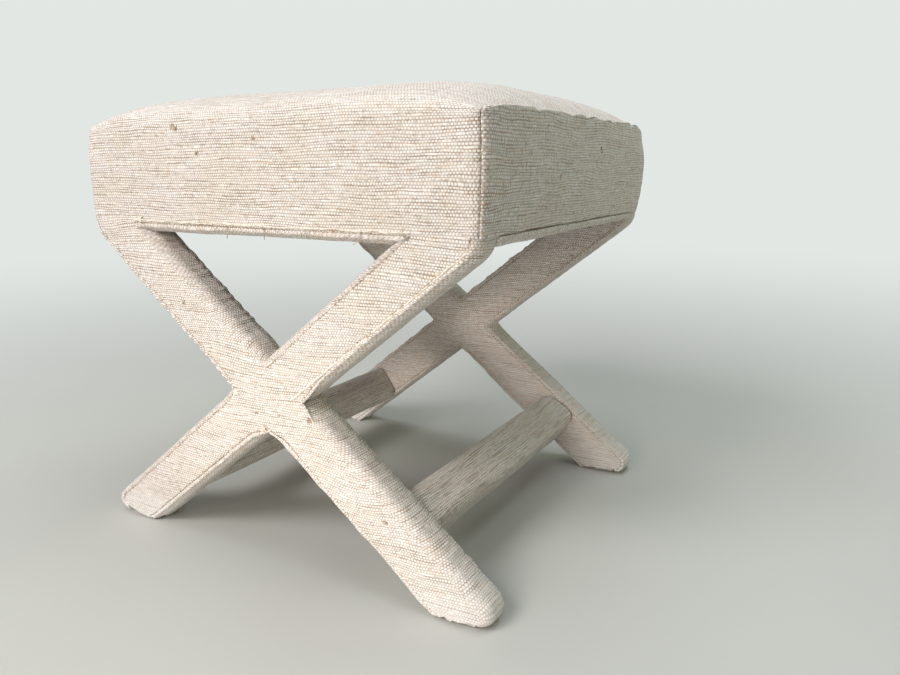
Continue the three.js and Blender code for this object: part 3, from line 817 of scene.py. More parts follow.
def bulge_at(z, across, back):
    """How far the seat's sides stand out at a height and at a share of its width and depth."""
    share = (z - SEAM_HEIGHT) / (SEAT_SHOULDER - SEAM_HEIGHT) / BULGE_END_SHARE
    rise = 1 - (1 - np.clip(share, 0, 1)) ** 2
    right = (1 + across) / 2
    rear = (1 + back) / 2
    front_share, rear_share = (blend(*shares, right) for shares in CORNER_BULGE_SHARES)
    return SEAT_BULGE * rise * blend(front_share, rear_share, rear)


def corner_seam_x(bulge):
    """How far to the side a corner seam stands."""
    return HALF_WIDTH - CORNER_RADIUS + (CORNER_RADIUS + bulge) * CORNER_SEAM_SHARE


def front_reach(x, bulge):
    """How far forward the seat's front stands at a place along it, round at the corners."""
    over = np.maximum(np.abs(x) - (HALF_WIDTH - CORNER_RADIUS), 0)
    radius = CORNER_RADIUS + bulge
    return HALF_DEPTH - CORNER_RADIUS + np.sqrt(np.maximum(radius**2 - over**2, 0))


def fold_drop(distance):
    """How far the rounded fold lies under its sharp edge, at a distance behind it."""
    short = np.clip(FOLD_RADIUS - distance, 0, FOLD_RADIUS)
    return FOLD_RADIUS - np.sqrt(FOLD_RADIUS**2 - short**2)


def top_point(across, back):
    """A point of the seat's top at shares of the half width and half depth from -1 to 1."""
    bulge = bulge_at(SEAT_SHOULDER, across, back)
    x = across * corner_seam_x(bulge)
    rise = SEAT_CROWN * crown_share(x / (HALF_WIDTH + bulge), back)
    z = SEAT_SHOULDER + rise - fold_drop(HALF_DEPTH * (1 - np.abs(back)))
    return stacked(x, back * front_reach(x, bulge), z)


def crown_profile():
    """The shares of the half depth at which the crown has a row, from front to rear."""
    back = -np.cos(np.linspace(0, math.pi, CROWN_SAMPLES))
    reached = reach_along(top_point(0.0, back)[:, 1:])
    wanted = np.linspace(0, reached[-1], int(reached[-1] / SEAT_STEP))
    return np.interp(wanted, reached, back)


ARM_TOP_START = upper_arm_edge(1, BORDER, 1)[-1][0]


def waterfall_grid():
    """The seat's front, top and rear as one cloth, ribs from side to side."""
    half = corner_seam_x(0)
    across = graded(2 * half, SEAT_STEP) / half - 1
    wall = SEAT_SHOULDER - FOLD_RADIUS - SEAM_HEIGHT
    rise = SEAM_HEIGHT + graded(wall, SEAT_STEP, True, False)

    def wall_row(z, back):
        bulge = bulge_at(z, across, back)
        x = across * corner_seam_x(bulge)
        return stacked(x, back * front_reach(x, bulge), z)

    rows = [wall_row(z, -1.0) for z in rise]
    rows += [top_point(across, back) for back in crown_profile()[1:-1]]
    rows += [wall_row(z, 1.0) for z in rise[::-1]]
    points = np.array(rows)
    down = SEAM_HEIGHT + reach_along(points[:, len(across) // 2])
    x = across * half
    side_lift = beside_seam(half - np.abs(x), CORNER_EDGE)
    from_seam = from_ends(down)[:, None]
    crease = -CREASE_DEPTH * bell(from_seam, CREASE_WIDTH)
    end_lift = np.where(np.abs(x) > ARM_TOP_START, crease, beside_seam(from_seam, FACE_EDGE))
    return Grid(points, stacked(x, down[:, None]), SEAT_MIDDLE, side_lift + end_lift)


def side_path():
    """A side panel's plan line from its front corner seam to its rear one, in X and Y."""
    turns = np.linspace(-math.acos(CORNER_SEAM_SHARE), 0, ARC_POINTS)
    arc = CORNER_RADIUS * stacked(np.cos(turns), np.sin(turns))
    arc += np.array([HALF_WIDTH - CORNER_RADIUS, -HALF_DEPTH + CORNER_RADIUS])
    back = arc[::-1] * np.array([1.0, -1.0])
    straight = along(arc[-1], back[0], PATH_POINTS)
    line = np.concatenate([arc, straight[1:-1], back])
    return places_on(line, graded(reach_along(line)[-1], STEP))


def side_rows(path, hand):
    """A side panel's rows up the wall, and the ones over the fold to the seat's top edge."""
    centre_y = HALF_DEPTH - CORNER_RADIUS
    outward = path - stacked(HALF_WIDTH - CORNER_RADIUS, np.clip(path[:, 1], -centre_y, centre_y))
    outward /= np.linalg.norm(outward, axis=1, keepdims=True)
    back = path[:, 1] / front_reach(corner_seam_x(0), 0.0)
    top = top_point(float(hand), back) * np.array([hand, 1.0, 1.0])
    from_corner = HALF_DEPTH * (1 - np.abs(back))
    ease = np.clip(from_corner / CORNER_EASE, 0, 1) ** SIDE_FOLD_POWER
    wall_end = top[:, 2] - SIDE_FOLD_RADIUS * ease
    rise = graded(SEAT_SHOULDER - SEAM_HEIGHT, STEP, True, False)
    wall = []
    for share in rise / rise[-1]:
        z = SEAM_HEIGHT + share * (wall_end - SEAM_HEIGHT)
        flat = path + outward * bulge_at(z, hand, back)[:, None]
        wall.append(stacked(flat[:, 0], flat[:, 1], z))
    fold = []
    turns = graded(SIDE_FOLD_RADIUS * math.pi / 2, STEP / 2, False, True)[1:]
    for turn in turns / turns[-1] * math.pi / 2:
        over = np.array([1 - math.cos(turn), 1 - math.cos(turn), math.sin(turn)])
        fold.append(wall[-1] + (top - wall[-1]) * over)
    return wall, fold


def side_grid(hand):
    """A side panel, from its lower seam up to the raised seam along the seat's top."""
    path = side_path()
    wall, fold = side_rows(path, hand)
    points = np.array(wall + fold) * np.array([hand, 1.0, 1.0])
    middle = SEAM_HEIGHT + reach_along(points[:, len(path) // 2])
    past = np.maximum(middle - middle[len(wall) - 1], 0)
    down = np.minimum(points[..., 2], wall[-1][:, 2]) + past[:, None]
    run = reach_along(path)
    roll = 1.0 + SIDE_WAVE_SHARE * line_noise(run, SIDE_WAVE_LENGTH, seed=8)
    roll = roll * np.clip(from_ends(run) / CORNER_EASE, 0, 1)
    between = np.clip((FRAME_INNER + HEM_OVERLAP - np.abs(path[:, 1])) / HEM_OVERLAP, 0, 1)
    lift = beside_seam(from_ends(run), CORNER_EDGE)
    lift = lift + roll * beside_seam(middle[-1] - middle, WELT_EDGE)[:, None]
    lift = lift + between * beside_seam(middle - middle[0], FACE_EDGE)[:, None]
    return Grid(points, stacked(run, down), SEAT_MIDDLE, lift, SIDE_SLACK)


def side_hem_grid(hand):
    """The strip under a side panel: a roll along the seam, turned in below the rail."""
    reach_y = FRAME_INNER + HEM_OVERLAP
    y = along([-reach_y], [reach_y], int(2 * reach_y / STEP))
    drop = SEAM_HEIGHT - SEAT_UNDERSIDE - HEM_RADIUS
    quarter = HEM_RADIUS * math.pi / 2
    reach = graded(drop + quarter + HEM_DEPTH - HEM_RADIUS, STEP)
    turn = np.clip((reach - drop) / HEM_RADIUS, 0, math.pi / 2)
    x = HALF_WIDTH - HEM_RADIUS * (1 - np.cos(turn)) - np.maximum(reach - drop - quarter, 0)
    z = SEAM_HEIGHT - np.minimum(reach, drop) - HEM_RADIUS * np.sin(turn)
    clear = np.clip((reach_y - np.abs(y)) / HEM_OVERLAP, 0, 1)
    roll = 1.0 + HEM_WAVE_SHARE * line_noise(y, HEM_WAVE_LENGTH, seed=70)
    lift = beside_seam(reach, WELT_EDGE) * roll * clear - HEM_TUCK * (1 - clear) ** 2
    return Grid(stacked(hand * x, y, z), stacked(reach, y), SEAT_MIDDLE, lift)


def soft_corners(points):
    """The seat's top corners drawn in and down, where the padding under them is soft."""
    moved = points.copy()
    for row, back in enumerate((-1, 1)):
        for column, across in enumerate((-1, 1)):
            corner = np.array([across * HALF_WIDTH, back * HALF_DEPTH, SEAT_SHOULDER])
            distance = np.linalg.norm((points - corner) / CORNER_SPREAD, axis=-1)
            way = np.array([-DRAW_IN_SHARE * across, -DRAW_IN_SHARE * back, -DRAW_DOWN_SHARE])
            way *= CORNER_DRAWS[row][column]
            moved += bell(distance, 1.0)[:, None] * way
    return moved


def seat_covers():
    """The seat's waterfall panel, side panels and the strips below them."""
    waterfall = cover("waterfall_cover", [waterfall_grid()], seed=3, after=soft_corners)
    dress(waterfall)
    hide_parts("waterfall_panel", "seat_foam", "seat_wadding")
    sides = []
    for name, hand in (("left", -1), ("right", 1)):
        grids = [side_grid(hand)]
        side = cover(f"{name}_side_cover", grids, seed=60 + hand, after=soft_corners)
        hem = cover(f"{name}_side_hem", [side_hem_grid(hand)], seed=66 + hand)
        dress(side, "side_cloth")
        dress(hem, "side_cloth")
        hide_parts(f"{name}_side_panel")
        sides.append(side)
    seat_threads(waterfall, sides)


# The stretchers

def stretcher_grid(name, hand):
    """A stretcher's cover: one sheet wrapped round the bar, ribs along it."""
    low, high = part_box(f"{name}_stretcher_cover")
    centre = np.array([(low.x + high.x) / 2, (low.z + high.z) / 2])
    turn = -hand * (LEG_ANGLE - STRETCHER_TWIST)
    shares = [(1, -1), (1, 1), (-1, 1), (-1, -1)]
    shares = [(SLEEVE_START_SHARE, -1), *shares, (SLEEVE_STOP_SHARE, -1)]
    corners = np.array(shares) * STRETCHER_SIZE / 2
    outline = [corners[:1]]
    for before, corner, after in zip(corners, corners[1:], corners[2:]):
        outline.append(fillet(before, corner, after, STRETCHER_EDGE_RADIUS, ARC_POINTS))
    line = np.concatenate([*outline, corners[-1:]]) * np.array([hand, 1.0])
    round_bar = graded(reach_along(line)[-1], STEP)
    spin = np.array([[math.cos(turn), math.sin(turn)], [-math.sin(turn), math.cos(turn)]])
    line = places_on(line, round_bar) @ spin + centre
    y = graded(2 * FRAME_INNER - FIT_GAP, STEP) - FRAME_INNER + FIT_GAP / 2
    points = stacked(line[:, 0], y[:, None], line[:, 1])
    lift = beside_seam(from_ends(y), FACE_EDGE)[:, None] * SLEEVE_END_DIP_SHARE
    lift = lift + beside_seam(from_ends(round_bar), FACE_EDGE) * SLEEVE_SEAM_DIP_SHARE
    core = stacked(centre[0], y[:-1], centre[1])[:, None]
    return Grid(points, stacked(y[:, None], round_bar), core, lift)


def stretcher_covers():
    """Both stretchers' covers."""
    for name, hand in (("left", -1), ("right", 1)):
        item = cover(f"{name}_stretcher_sleeve", [stretcher_grid(name, hand)], seed=90 + hand)
        dress(item, "stretcher_cloth")
        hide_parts(f"{name}_stretcher_cover", f"{name}_stretcher_wadding")


# Stitches, slubs and loose threads

def tube(line, radii, out):
    """A thread along a line, closed at both ends: its points and its faces."""
    ahead = np.gradient(line, axis=0)
    ahead /= np.linalg.norm(ahead, axis=1, keepdims=True)
    beside = np.cross(ahead, out)
    beside /= np.linalg.norm(beside, axis=1, keepdims=True)
    over = np.cross(beside, ahead)
    turns = np.arange(TUBE_SIDES)[:, None] * 2 * math.pi / TUBE_SIDES
    ring = np.cos(turns) * over[:, None] + np.sin(turns) * beside[:, None]
    points = line[:, None] + ring * radii[:, None, None]
    index = np.arange(points[..., 0].size).reshape(points.shape[:2])
    beyond = np.roll(index, -1, axis=1)
    faces = np.stack([index[:-1], beyond[:-1], beyond[1:], index[1:]], -1).reshape(-1, 4)
    caps = [ends[corners] for ends in (index[0, ::-1], index[-1]) for corners in CAP_CORNERS]
    return points.reshape(-1, 3), np.concatenate([faces, caps])


def thread_piece(name, tubes, material):
    """Lengths of thread as one piece that rides on the stool."""
    starts = np.cumsum([0] + [len(points) for points, _ in tubes])
    points = np.concatenate([points for points, _ in tubes])
    faces = np.concatenate([faces + start for (_, faces), start in zip(tubes, starts)])
    item = new_mesh(name, points, faces)
    item.data.materials.append(MATERIALS[material])
    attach(item, "root")


def surface_of(item):
    """A search tree of a cover's outer surface."""
    corners = [tuple(face.vertices) for face in item.data.polygons]
    return BVHTree.FromPolygons([point.co for point in item.data.vertices], corners)


def on_cloth(surface, points):
    """The nearest places on the cloth, and the way out of it there."""
    found = [surface.find_nearest(Vector(point)) for point in points]
    return np.array([hit[0] for hit in found]), np.array([hit[1] for hit in found])


def stitches(surface, line, chance, pitch=STITCH_PITCH, radius=STITCH_RADIUS):
    """A row of hand stitches along a seam."""
    made = []
    for middle in np.arange(pitch, reach_along(line)[-1] - pitch, pitch):
        length = STITCH_LENGTH * chance.uniform(*STITCH_LENGTH_SHARES)
        stray = chance.normal(0, STITCH_STRAY, 3)
        if chance.random() < STITCH_MISSING_SHARE:
            continue
        wanted = middle + length * np.linspace(-0.5, 0.5, len(STITCH_ARCH_SHARES))
        place, out = on_cloth(surface, places_on(line, wanted) + stray)
        place = place + out * radius * STITCH_ARCH_SHARES[:, None]
        made.append(tube(place, radius * STITCH_TAPER_SHARES, out))
    return made


def seam_ridge(surface, line, radius, seed):
    """The folded edge of cloth that stands up along a seam, wavy and thick and thin."""
    length = reach_along(line)[-1]
    count = int(length / RIDGE_STEP)
    line = respaced(line, count)
    run = np.linspace(0, length, count)
    line[:, 2] += RIDGE_WAVE * line_noise(run, RIDGE_WAVE_LENGTH, seed)
    swell = RIDGE_SWELL_SHARE * line_noise(run, RIDGE_WAVE_LENGTH / 2, seed + 1)
    swell = swell + RIDGE_STITCH_SHARE * np.sin(run * 2 * math.pi / STITCH_PITCH)
    place, out = on_cloth(surface, line)
    return tube(place, radius * (1 + swell), out)


def slub(surface, place, size, chance):
    """A knot in the yarn: a few short twisted ends in one lump."""
    made = []
    share = np.linspace(-1, 1, SLUB_POINTS)
    swell = 1 - share**2
    for _ in range(SLUB_ENDS):
        bend = chance.uniform(-SLUB_BEND_SHARE, SLUB_BEND_SHARE, 2) * size
        middle = np.array(place) + chance.uniform(-SLUB_STRAY_SHARE, SLUB_STRAY_SHARE, 3) * size
        line = middle + stacked(share * size * SLUB_HALF_LENGTH_SHARE, 0.0, bend[0] * share**2)
        line[:, 2] += bend[1] * np.sin(share * math.pi)
        place_on, out = on_cloth(surface, line)
        height = swell * size * SLUB_ARCH_SHARE - SLUB_SINK
        radii = size * (SLUB_TIP_SHARE + SLUB_SWELL_SHARE * swell)
        made.append(tube(place_on + out * height[:, None], radii, out))
    return made


def slubs(surface, places, chance, turned=1.0):
    """All the slubs of a list of places and sizes."""
    made = []
    for place, size in places:
        made += slub(surface, np.array(place) * turned, size, chance)
    return made


def loose_thread(surface, place, reach, chance, radius=THREAD_RADIUS):
    """A thin thread that comes out of the cloth and hangs in a bend."""
    start, out = on_cloth(surface, [place])
    share = np.linspace(0, 1, THREAD_POINTS)[:, None]
    sideways = chance.uniform(-THREAD_BEND_SHARE, THREAD_BEND_SHARE)
    bend = np.array([sideways, 0, 0]) * np.linalg.norm(reach)
    line = start - out * THREAD_ROOT + share * np.array(reach) + bend * np.sin(share * math.pi)
    out_there = np.broadcast_to(THREAD_OUT, line.shape)
    return tube(line, np.full(len(line), radius), out_there)


def face_seams(outer):
    """The stitched lines on a frame's face."""
    border = BORDER if outer else INNER_BORDER
    depth = OUTER_FACE if outer else INNER_FACE
    lines = []
    for lean, side in ((1, 1), (1, -1), (-1, 1), (-1, -1)):
        if outer and lean < 0 and side > 0:
            continue
        for edge_of in (upper_arm_edge, lower_arm_edge):
            flat = drawn_to_notches(edge_of(side, border + STITCH_INSET, lean), outer)
            lines.append(stacked(flat[:, 0], depth, flat[:, 1]))
    return lines


def rail_seam(way):
    """The stitched line along the seat's front or rear, over the open part."""
    x = np.linspace(-ARM_TOP_START, ARM_TOP_START, SEAM_POINTS)
    return stacked(x, way * HALF_DEPTH, SEAM_HEIGHT + STITCH_INSET)


def corner_seam(across, back):
    """The line of one of the seat's upright seams."""
    z = np.linspace(SEAM_HEIGHT, SEAT_SHOULDER - FOLD_RADIUS, CORNER_SEAM_POINTS)
    bulge = bulge_at(z, across, back)
    x = corner_seam_x(bulge)
    return stacked(across * x, back * front_reach(x, bulge), z)


def side_seam(hand):
    """The stitched line along the bottom of a side panel."""
    y = np.linspace(-FRAME_INNER, FRAME_INNER, SEAM_POINTS)
    return stacked(hand * HALF_WIDTH, y, SEAM_HEIGHT + STITCH_INSET)


def seat_threads(waterfall, sides):
    """The seat's seams, slubs, tabs and loose ends."""
    chance = np.random.default_rng(11)
    surface = surface_of(waterfall)
    made = []
    for way in (-1, 1):
        made += stitches(surface, rail_seam(way), chance)
        for across in (-1, 1):
            line = corner_seam(across, way)
            made += stitches(surface, line, chance, CORNER_STITCH_PITCH, CORNER_STITCH_RADIUS)
    for side, hand in zip(sides, (-1, 1)):
        made += stitches(surface_of(side), side_seam(hand), chance)
    thread_piece("seat_stitches", made, "seam_thread")
    right_surface = surface_of(sides[1])
    lumps = []
    for place, size in SEAT_SLUBS:
        under = right_surface if place[0] > HALF_WIDTH else surface
        lumps += slub(under, place, size, chance)
    for place, reach in RAIL_THREADS:
        lumps.append(loose_thread(surface, place, reach, chance, RAIL_THREAD_RADIUS))
    thread_piece("seat_slubs", lumps, "slub_yarn")
    tabs = []
    for way in (-1, 1):
        line = rail_seam(way) + np.array([0.0, 0.0, RAIL_RIDGE_RISE])
        tabs.append(seam_ridge(surface, line, RAIL_RIDGE_RADIUS, seed=21 + way))
    tabs += slubs(surface, SEAT_TABS, chance)
    thread_piece("seat_tabs", tabs, "tab_yarn")


def frame_threads(side, outer, inner, chance):
    """A frame's seams, slubs, tabs and loose ends."""
    turned = HALF_TURN if side == "rear" else np.ones(3)
    made = []
    for is_outer, item in ((True, outer), (False, inner)):
        surface = surface_of(item)
        for line in face_seams(is_outer):
            made += stitches(surface, line * turned, chance)
    thread_piece(f"{side}_frame_stitches", made, "seam_thread")
    surface = surface_of(outer)
    lumps = slubs(surface, FRAME_SLUBS, chance, turned)
    for place, reach in FOOT_THREADS:
        lumps.append(loose_thread(surface, np.array(place) * turned, reach * turned, chance))
    thread_piece(f"{side}_frame_slubs", lumps, "slub_yarn")
    edge = upper_arm_edge(-1, BORDER, 1)
    edge = edge[edge[:, 1] < SEAT_UNDERSIDE - STITCH_INSET]
    line = stacked(edge[:, 0], OUTER_FACE, edge[:, 1]) * turned
    tabs = [seam_ridge(surface, line, ARM_RIDGE_RADIUS, seed=25)]
    tabs += slubs(surface, FRAME_TABS, chance, turned)
    thread_piece(f"{side}_frame_tabs", tabs, "tab_yarn")


# Soles and the lining

def foot_soles():
    """The cloth turned under each foot."""
    inner_end = (CROSSING_HEIGHT - LEG_HALF / COS) * COS / SIN
    x = np.linspace(inner_end + SOLE_MARGIN, TOE_CENTRE_X, SOLE_COUNTS[0])
    y = np.linspace(FRAME_INNER + SOLE_SIDE_MARGIN, HALF_DEPTH - SOLE_SIDE_MARGIN, SOLE_COUNTS[1])
    y = y[:, None]
    height = SOLE_HEIGHT + SOLE_RIM * bell(np.minimum(from_ends(x), from_ends(y)), SOLE_RIM_WIDTH)
    for side, way in (("front", -1), ("rear", 1)):
        for name, hand in (("left", -1), ("right", 1)):
            grid = Grid(stacked(hand * x, way * y, height), stacked(x, y), ABOVE_FEET)
            item = cover(
                f"foot_sole_cover_{side}_{name}", [grid], seed=100, thickness=SOLE_THICKNESS
            )
            item.location.z = FOOT_CLEARANCE
            dress(item)
            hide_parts(f"foot_sole_{side}_{name}")


def dust_cover():
    """The thin lining that closes the seat from below."""
    low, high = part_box("dust_cover")
    width, depth = high.x - low.x, high.y - low.y
    x = np.linspace(low.x, high.x, LINING_COUNTS[0])
    y = np.linspace(low.y, high.y, LINING_COUNTS[1])[:, None]
    sag = LINING_SAG * np.sin(np.pi * (x - low.x) / width) * np.sin(np.pi * (y - low.y) / depth)
    ripple = LINING_RIPPLE * smooth_noise(stacked(x, y, 0.0), LINING_RIPPLE_SIZE, seed=5)
    points = stacked(x, y, low.z + LINING_GAP - sag + ripple)
    grid = Grid(points, stacked(x, y), SEAT_MIDDLE)
    item = cover("seat_lining", [grid], seed=0, thickness=LINING_THICKNESS)
    item.data.materials.append(MATERIALS["dust_cover_cloth"])
    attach(item, "root")
    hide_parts("dust_cover")


def dress(item, material="cover_cloth"):
    """Cover cloth on a padded piece that rides on the stool."""
    item.data.materials.append(MATERIALS[material])
    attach(item, "root")


# The sockets of a Mix node that mixes colours
MIX_FIRST = 6
MIX_SECOND = 7
MIX_RESULT = 2

# The weave: its sizes, and how many patches of each pattern fit in a metre along and across
WEAVE_SIZES = {
    "Rib Pitch": 0.0025,
    "Bead Length": 0.0030,
    "Wander": 0.0060,
    "Unevenness": 0.0026,
}
WANDER_SCALE = (13, 34, 1)
THICKNESS_SCALE = (11, 150, 1)
FIBRE_SCALE = (900, 2200, 1)
PATCH_SCALE = (12, 22, 1)
WARM_SCALE = (60, 240, 1)

# Patterns along the rows: how many patches fit in a metre, and the step from row to row
ROW_PATTERNS = {
    "yarn": (26.0, 7.31),
    "slub": (75.0, 2.71),
    "long gap": (20.0, 5.77),
    "short gap": (150.0, 9.13),
    "slide": (90.0, 3.13),
}

# A bead is set half a bead on from row to row, and slides along its row
ROW_SHIFT_SHARE = 0.5
SLIDE_SHARE = 0.8
SHORT_GAP_SHARE = 0.9

# How fast a bead falls off across and along its row: plain, in thick yarn, by a gap, in a slub
ACROSS_FALL = 4.4
THICK_YARN_FALL = -1.3
GAP_FALL = 1.4
LENGTHWISE_FALL = 3.8
SLUB_FALL = -3.0

# What raises a bead, as shares of its own height, and how much of its painted shade the shallowest
# gap keeps
BEAD_RISE_SHARE = 0.25
SLUB_RISE_SHARE = 0.4
FIBRE_RISE_SHARE = 0.25
SHALLOW_GAP_SHARE = 0.65

# The cover's colours: its beads, then the painted shade in the gaps between them
CREAM = (0.84, 0.79, 0.745)
PALE = (0.87, 0.83, 0.82)
WARM = (0.80, 0.73, 0.655)
DULL = (0.66, 0.55, 0.45)
# The palest cream, for the palest yarns and for the painted floor light on the feet
PALEST_CREAM = (0.90, 0.88, 0.86)
GAP_SHADE = (0.36, 0.285, 0.225)
WARM_GAP_SHADE = (0.46, 0.32, 0.22)
DULL_SHARE = 0.36

# Painted light from the floor on the feet: how much paler the cloth is painted, from one height
# down to another, and how far its painted gap shade is lifted there
PAINTED_FLOOR_LIGHT_START = 0.060
PAINTED_FLOOR_LIGHT_FULL = 0.004
PAINTED_FLOOR_LIGHT_SHARE = 0.7
PAINTED_FLOOR_LIGHT_GAP_LIFT = 0.45

# How rough each finish is, with what its pattern adds
WEAVE_ROUGHNESS = 0.86
CREVICE_ROUGHNESS = 0.08
SHEEN = 0.15
SHEEN_ROUGHNESS = 0.5
YARN_ROUGHNESS = 0.85
WOOD_ROUGHNESS = 0.55
GRAIN_ROUGHNESS = 0.2
LINING_ROUGHNESS = 0.9
STEEL_ROUGHNESS = 0.25
MARK_ROUGHNESS = 0.25

# The relief of each finish
WEAVE_DEPTH = 0.0006
WEAVE_STRENGTH = 0.75
TWIST_DEPTH = 0.0001
GRAIN_DEPTH = 0.0004
LINING_DEPTH = 0.0002
LINING_PITCH = 0.0011
LINING_WAVE_SCALE = 0.32
LINING_DISTORTION = 0.6
GRAIN_STRETCH = 14

# Each cloth: the scale of its dark marks, their share, and how far its ribs wander
CLOTHS = {
    "cover_cloth": ((210, 210, 1), 0.55, 0.0060),
    "side_cloth": ((400, 130, 1), 0.95, 0.0100),
    "stretcher_cloth": ((28, 420, 1), 1.0, 0.0080),
}

# Each yarn's light and dark colour
YARNS = {
    "seam_thread": ((0.50, 0.36, 0.24), (0.24, 0.13, 0.07)),
    "slub_yarn": ((0.62, 0.50, 0.38), (0.30, 0.21, 0.14)),
    "tab_yarn": ((0.86, 0.80, 0.73), (0.66, 0.55, 0.44)),
}

# Each wood's name, its light and dark colour and the scale of its grain
WOODS = {
    "timber": ("frame_timber", (0.62, 0.45, 0.28), (0.48, 0.32, 0.18), 9),
    "plywood": ("seat_plywood", (0.66, 0.52, 0.34), (0.55, 0.40, 0.24), 5),
}
LINING_LIGHT = (0.045, 0.044, 0.042)
LINING_DARK = (0.018, 0.018, 0.018)
STEEL_DARK = (0.50, 0.51, 0.52)
STEEL_LIGHT = (0.68, 0.69, 0.70)

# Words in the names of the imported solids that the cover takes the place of
COVERED_WORDS = ("panel", "wadding", "foam", "band", "sole", "cover")


# Node trees

def new_material(name):
    """A material with an empty tree, its surface shader and its output."""
    material = bpy.data.materials.new(name)
    material.use_nodes = True
    tree = material.node_tree
    tree.nodes.clear()
    output = tree.nodes.new("ShaderNodeOutputMaterial")
    shader = tree.nodes.new("ShaderNodeBsdfPrincipled")
    tree.links.new(shader.outputs["BSDF"], output.inputs["Surface"])
    return material, tree, shader


def feed(tree, socket, value):
    """A socket set to a number or a colour, or linked to the output of another node."""
    if isinstance(value, bpy.types.NodeSocket):
        tree.links.new(value, socket)
    elif isinstance(value, tuple):
        socket.default_value = (*value, 1.0)
    else:
        socket.default_value = value


def add_node(tree, kind, **inputs):
    """A node and what feeds its inputs. An input's name has _ for a blank."""
    node = tree.nodes.new("ShaderNode" + kind)
    for label, value in inputs.items():
        feed(tree, node.inputs[label.replace("_", " ")], value)
    return node


def math_node(tree, operation, *values):
    """The result of one sum. Each part is a number or a socket."""
    node = tree.nodes.new("ShaderNodeMath")
    node.operation = operation
    for socket, value in zip(node.inputs, values):
        feed(tree, socket, value)
    return node.outputs[0]


def summed(tree, start, *parts):
    """A start value, and each part times its factor added to it."""
    for value, factor in parts:
        start = math_node(tree, "MULTIPLY_ADD", value, factor, start)
    return start


def noise_node(tree, place, scale, detail):
    """Smooth noise from about 0 to 1, with one scale or with one for each axis."""
    if isinstance(scale, tuple):
        mapping = add_node(tree, "Mapping", Vector=place)
        mapping.inputs["Scale"].default_value = scale
        place = mapping.outputs["Vector"]
        scale = 1.0
    return add_node(tree, "TexNoise", Vector=place, Scale=scale, Detail=detail).outputs["Fac"]


def ramp_node(tree, value, low, high):
    """A value spread from 0 at one level to 1 at another."""
    node = add_node(tree, "MapRange", Value=value, From_Min=low, From_Max=high)
    node.interpolation_type = "SMOOTHSTEP"
    return node.outputs["Result"]


def mix_colours(tree, factor, first, second):
    """One colour over another. Each is a colour or a socket."""
    node = tree.nodes.new("ShaderNodeMix")
    node.data_type = "RGBA"
    feed(tree, node.inputs["Factor"], factor)
    feed(tree, node.inputs[MIX_FIRST], first)
    feed(tree, node.inputs[MIX_SECOND], second)
    return node.outputs[MIX_RESULT]


def mix_shaders(tree, factor, first, second):
    """One shader over another."""
    node = add_node(tree, "MixShader", Fac=factor)
    tree.links.new(first, node.inputs[1])
    tree.links.new(second, node.inputs[2])
    return node.outputs["Shader"]


def white_noise(tree, first, second):
    """A value from 0 to 1 that jumps from cell to cell."""
    cell = add_node(tree, "CombineXYZ", X=first, Y=second).outputs["Vector"]
    node = add_node(tree, "TexWhiteNoise", Vector=cell)
    node.noise_dimensions = "2D"
    return node.outputs["Value"]


def row_noise(tree, run, row, pattern):
    """Noise that changes slowly along a row and is unlike from row to row."""
    run_scale, row_step = ROW_PATTERNS[pattern]
    x = math_node(tree, "MULTIPLY", run, run_scale)
    y = math_node(tree, "MULTIPLY", row, row_step)
    place = add_node(tree, "CombineXYZ", X=x, Y=y).outputs["Vector"]
    return noise_node(tree, place, scale=1.0, detail=1.0)


def object_place(tree):
    """The object's own coordinates."""
    return tree.nodes.new("ShaderNodeTexCoord").outputs["Object"]


def cloth_place(tree):
    """The cloth's own coordinates."""
    node = tree.nodes.new("ShaderNodeUVMap")
    node.uv_map = "cloth"
    return node.outputs["UV"]


def finish(tree, shader, colour, rough, relief, depth, strength=1.0):
    """A surface's colour, its roughness and the fine relief that the light shows."""
    feed(tree, shader.inputs["Base Color"], colour)
    feed(tree, shader.inputs["Roughness"], rough)
    bump = add_node(tree, "Bump", Strength=strength, Distance=depth, Height=relief)
    feed(tree, shader.inputs["Normal"], bump.outputs["Normal"])


# Materials

def new_weave_group():
    """A node group that takes a place on the cloth and the weave's sizes."""
    tree = bpy.data.node_groups.new("rib weave", "ShaderNodeTree")
    add_socket = tree.interface.new_socket
    add_socket("Cloth", in_out="INPUT", socket_type="NodeSocketVector")
    for label, size in WEAVE_SIZES.items():
        socket = add_socket(label, in_out="INPUT", socket_type="NodeSocketFloat")
        socket.default_value = size
    for label in ("Height", "Gap Shade", "Yarn", "Bead"):
        add_socket(label, in_out="OUTPUT", socket_type="NodeSocketFloat")
    given = tree.nodes.new("NodeGroupInput").outputs
    result = tree.nodes.new("NodeGroupOutput").inputs
    return tree, given, result


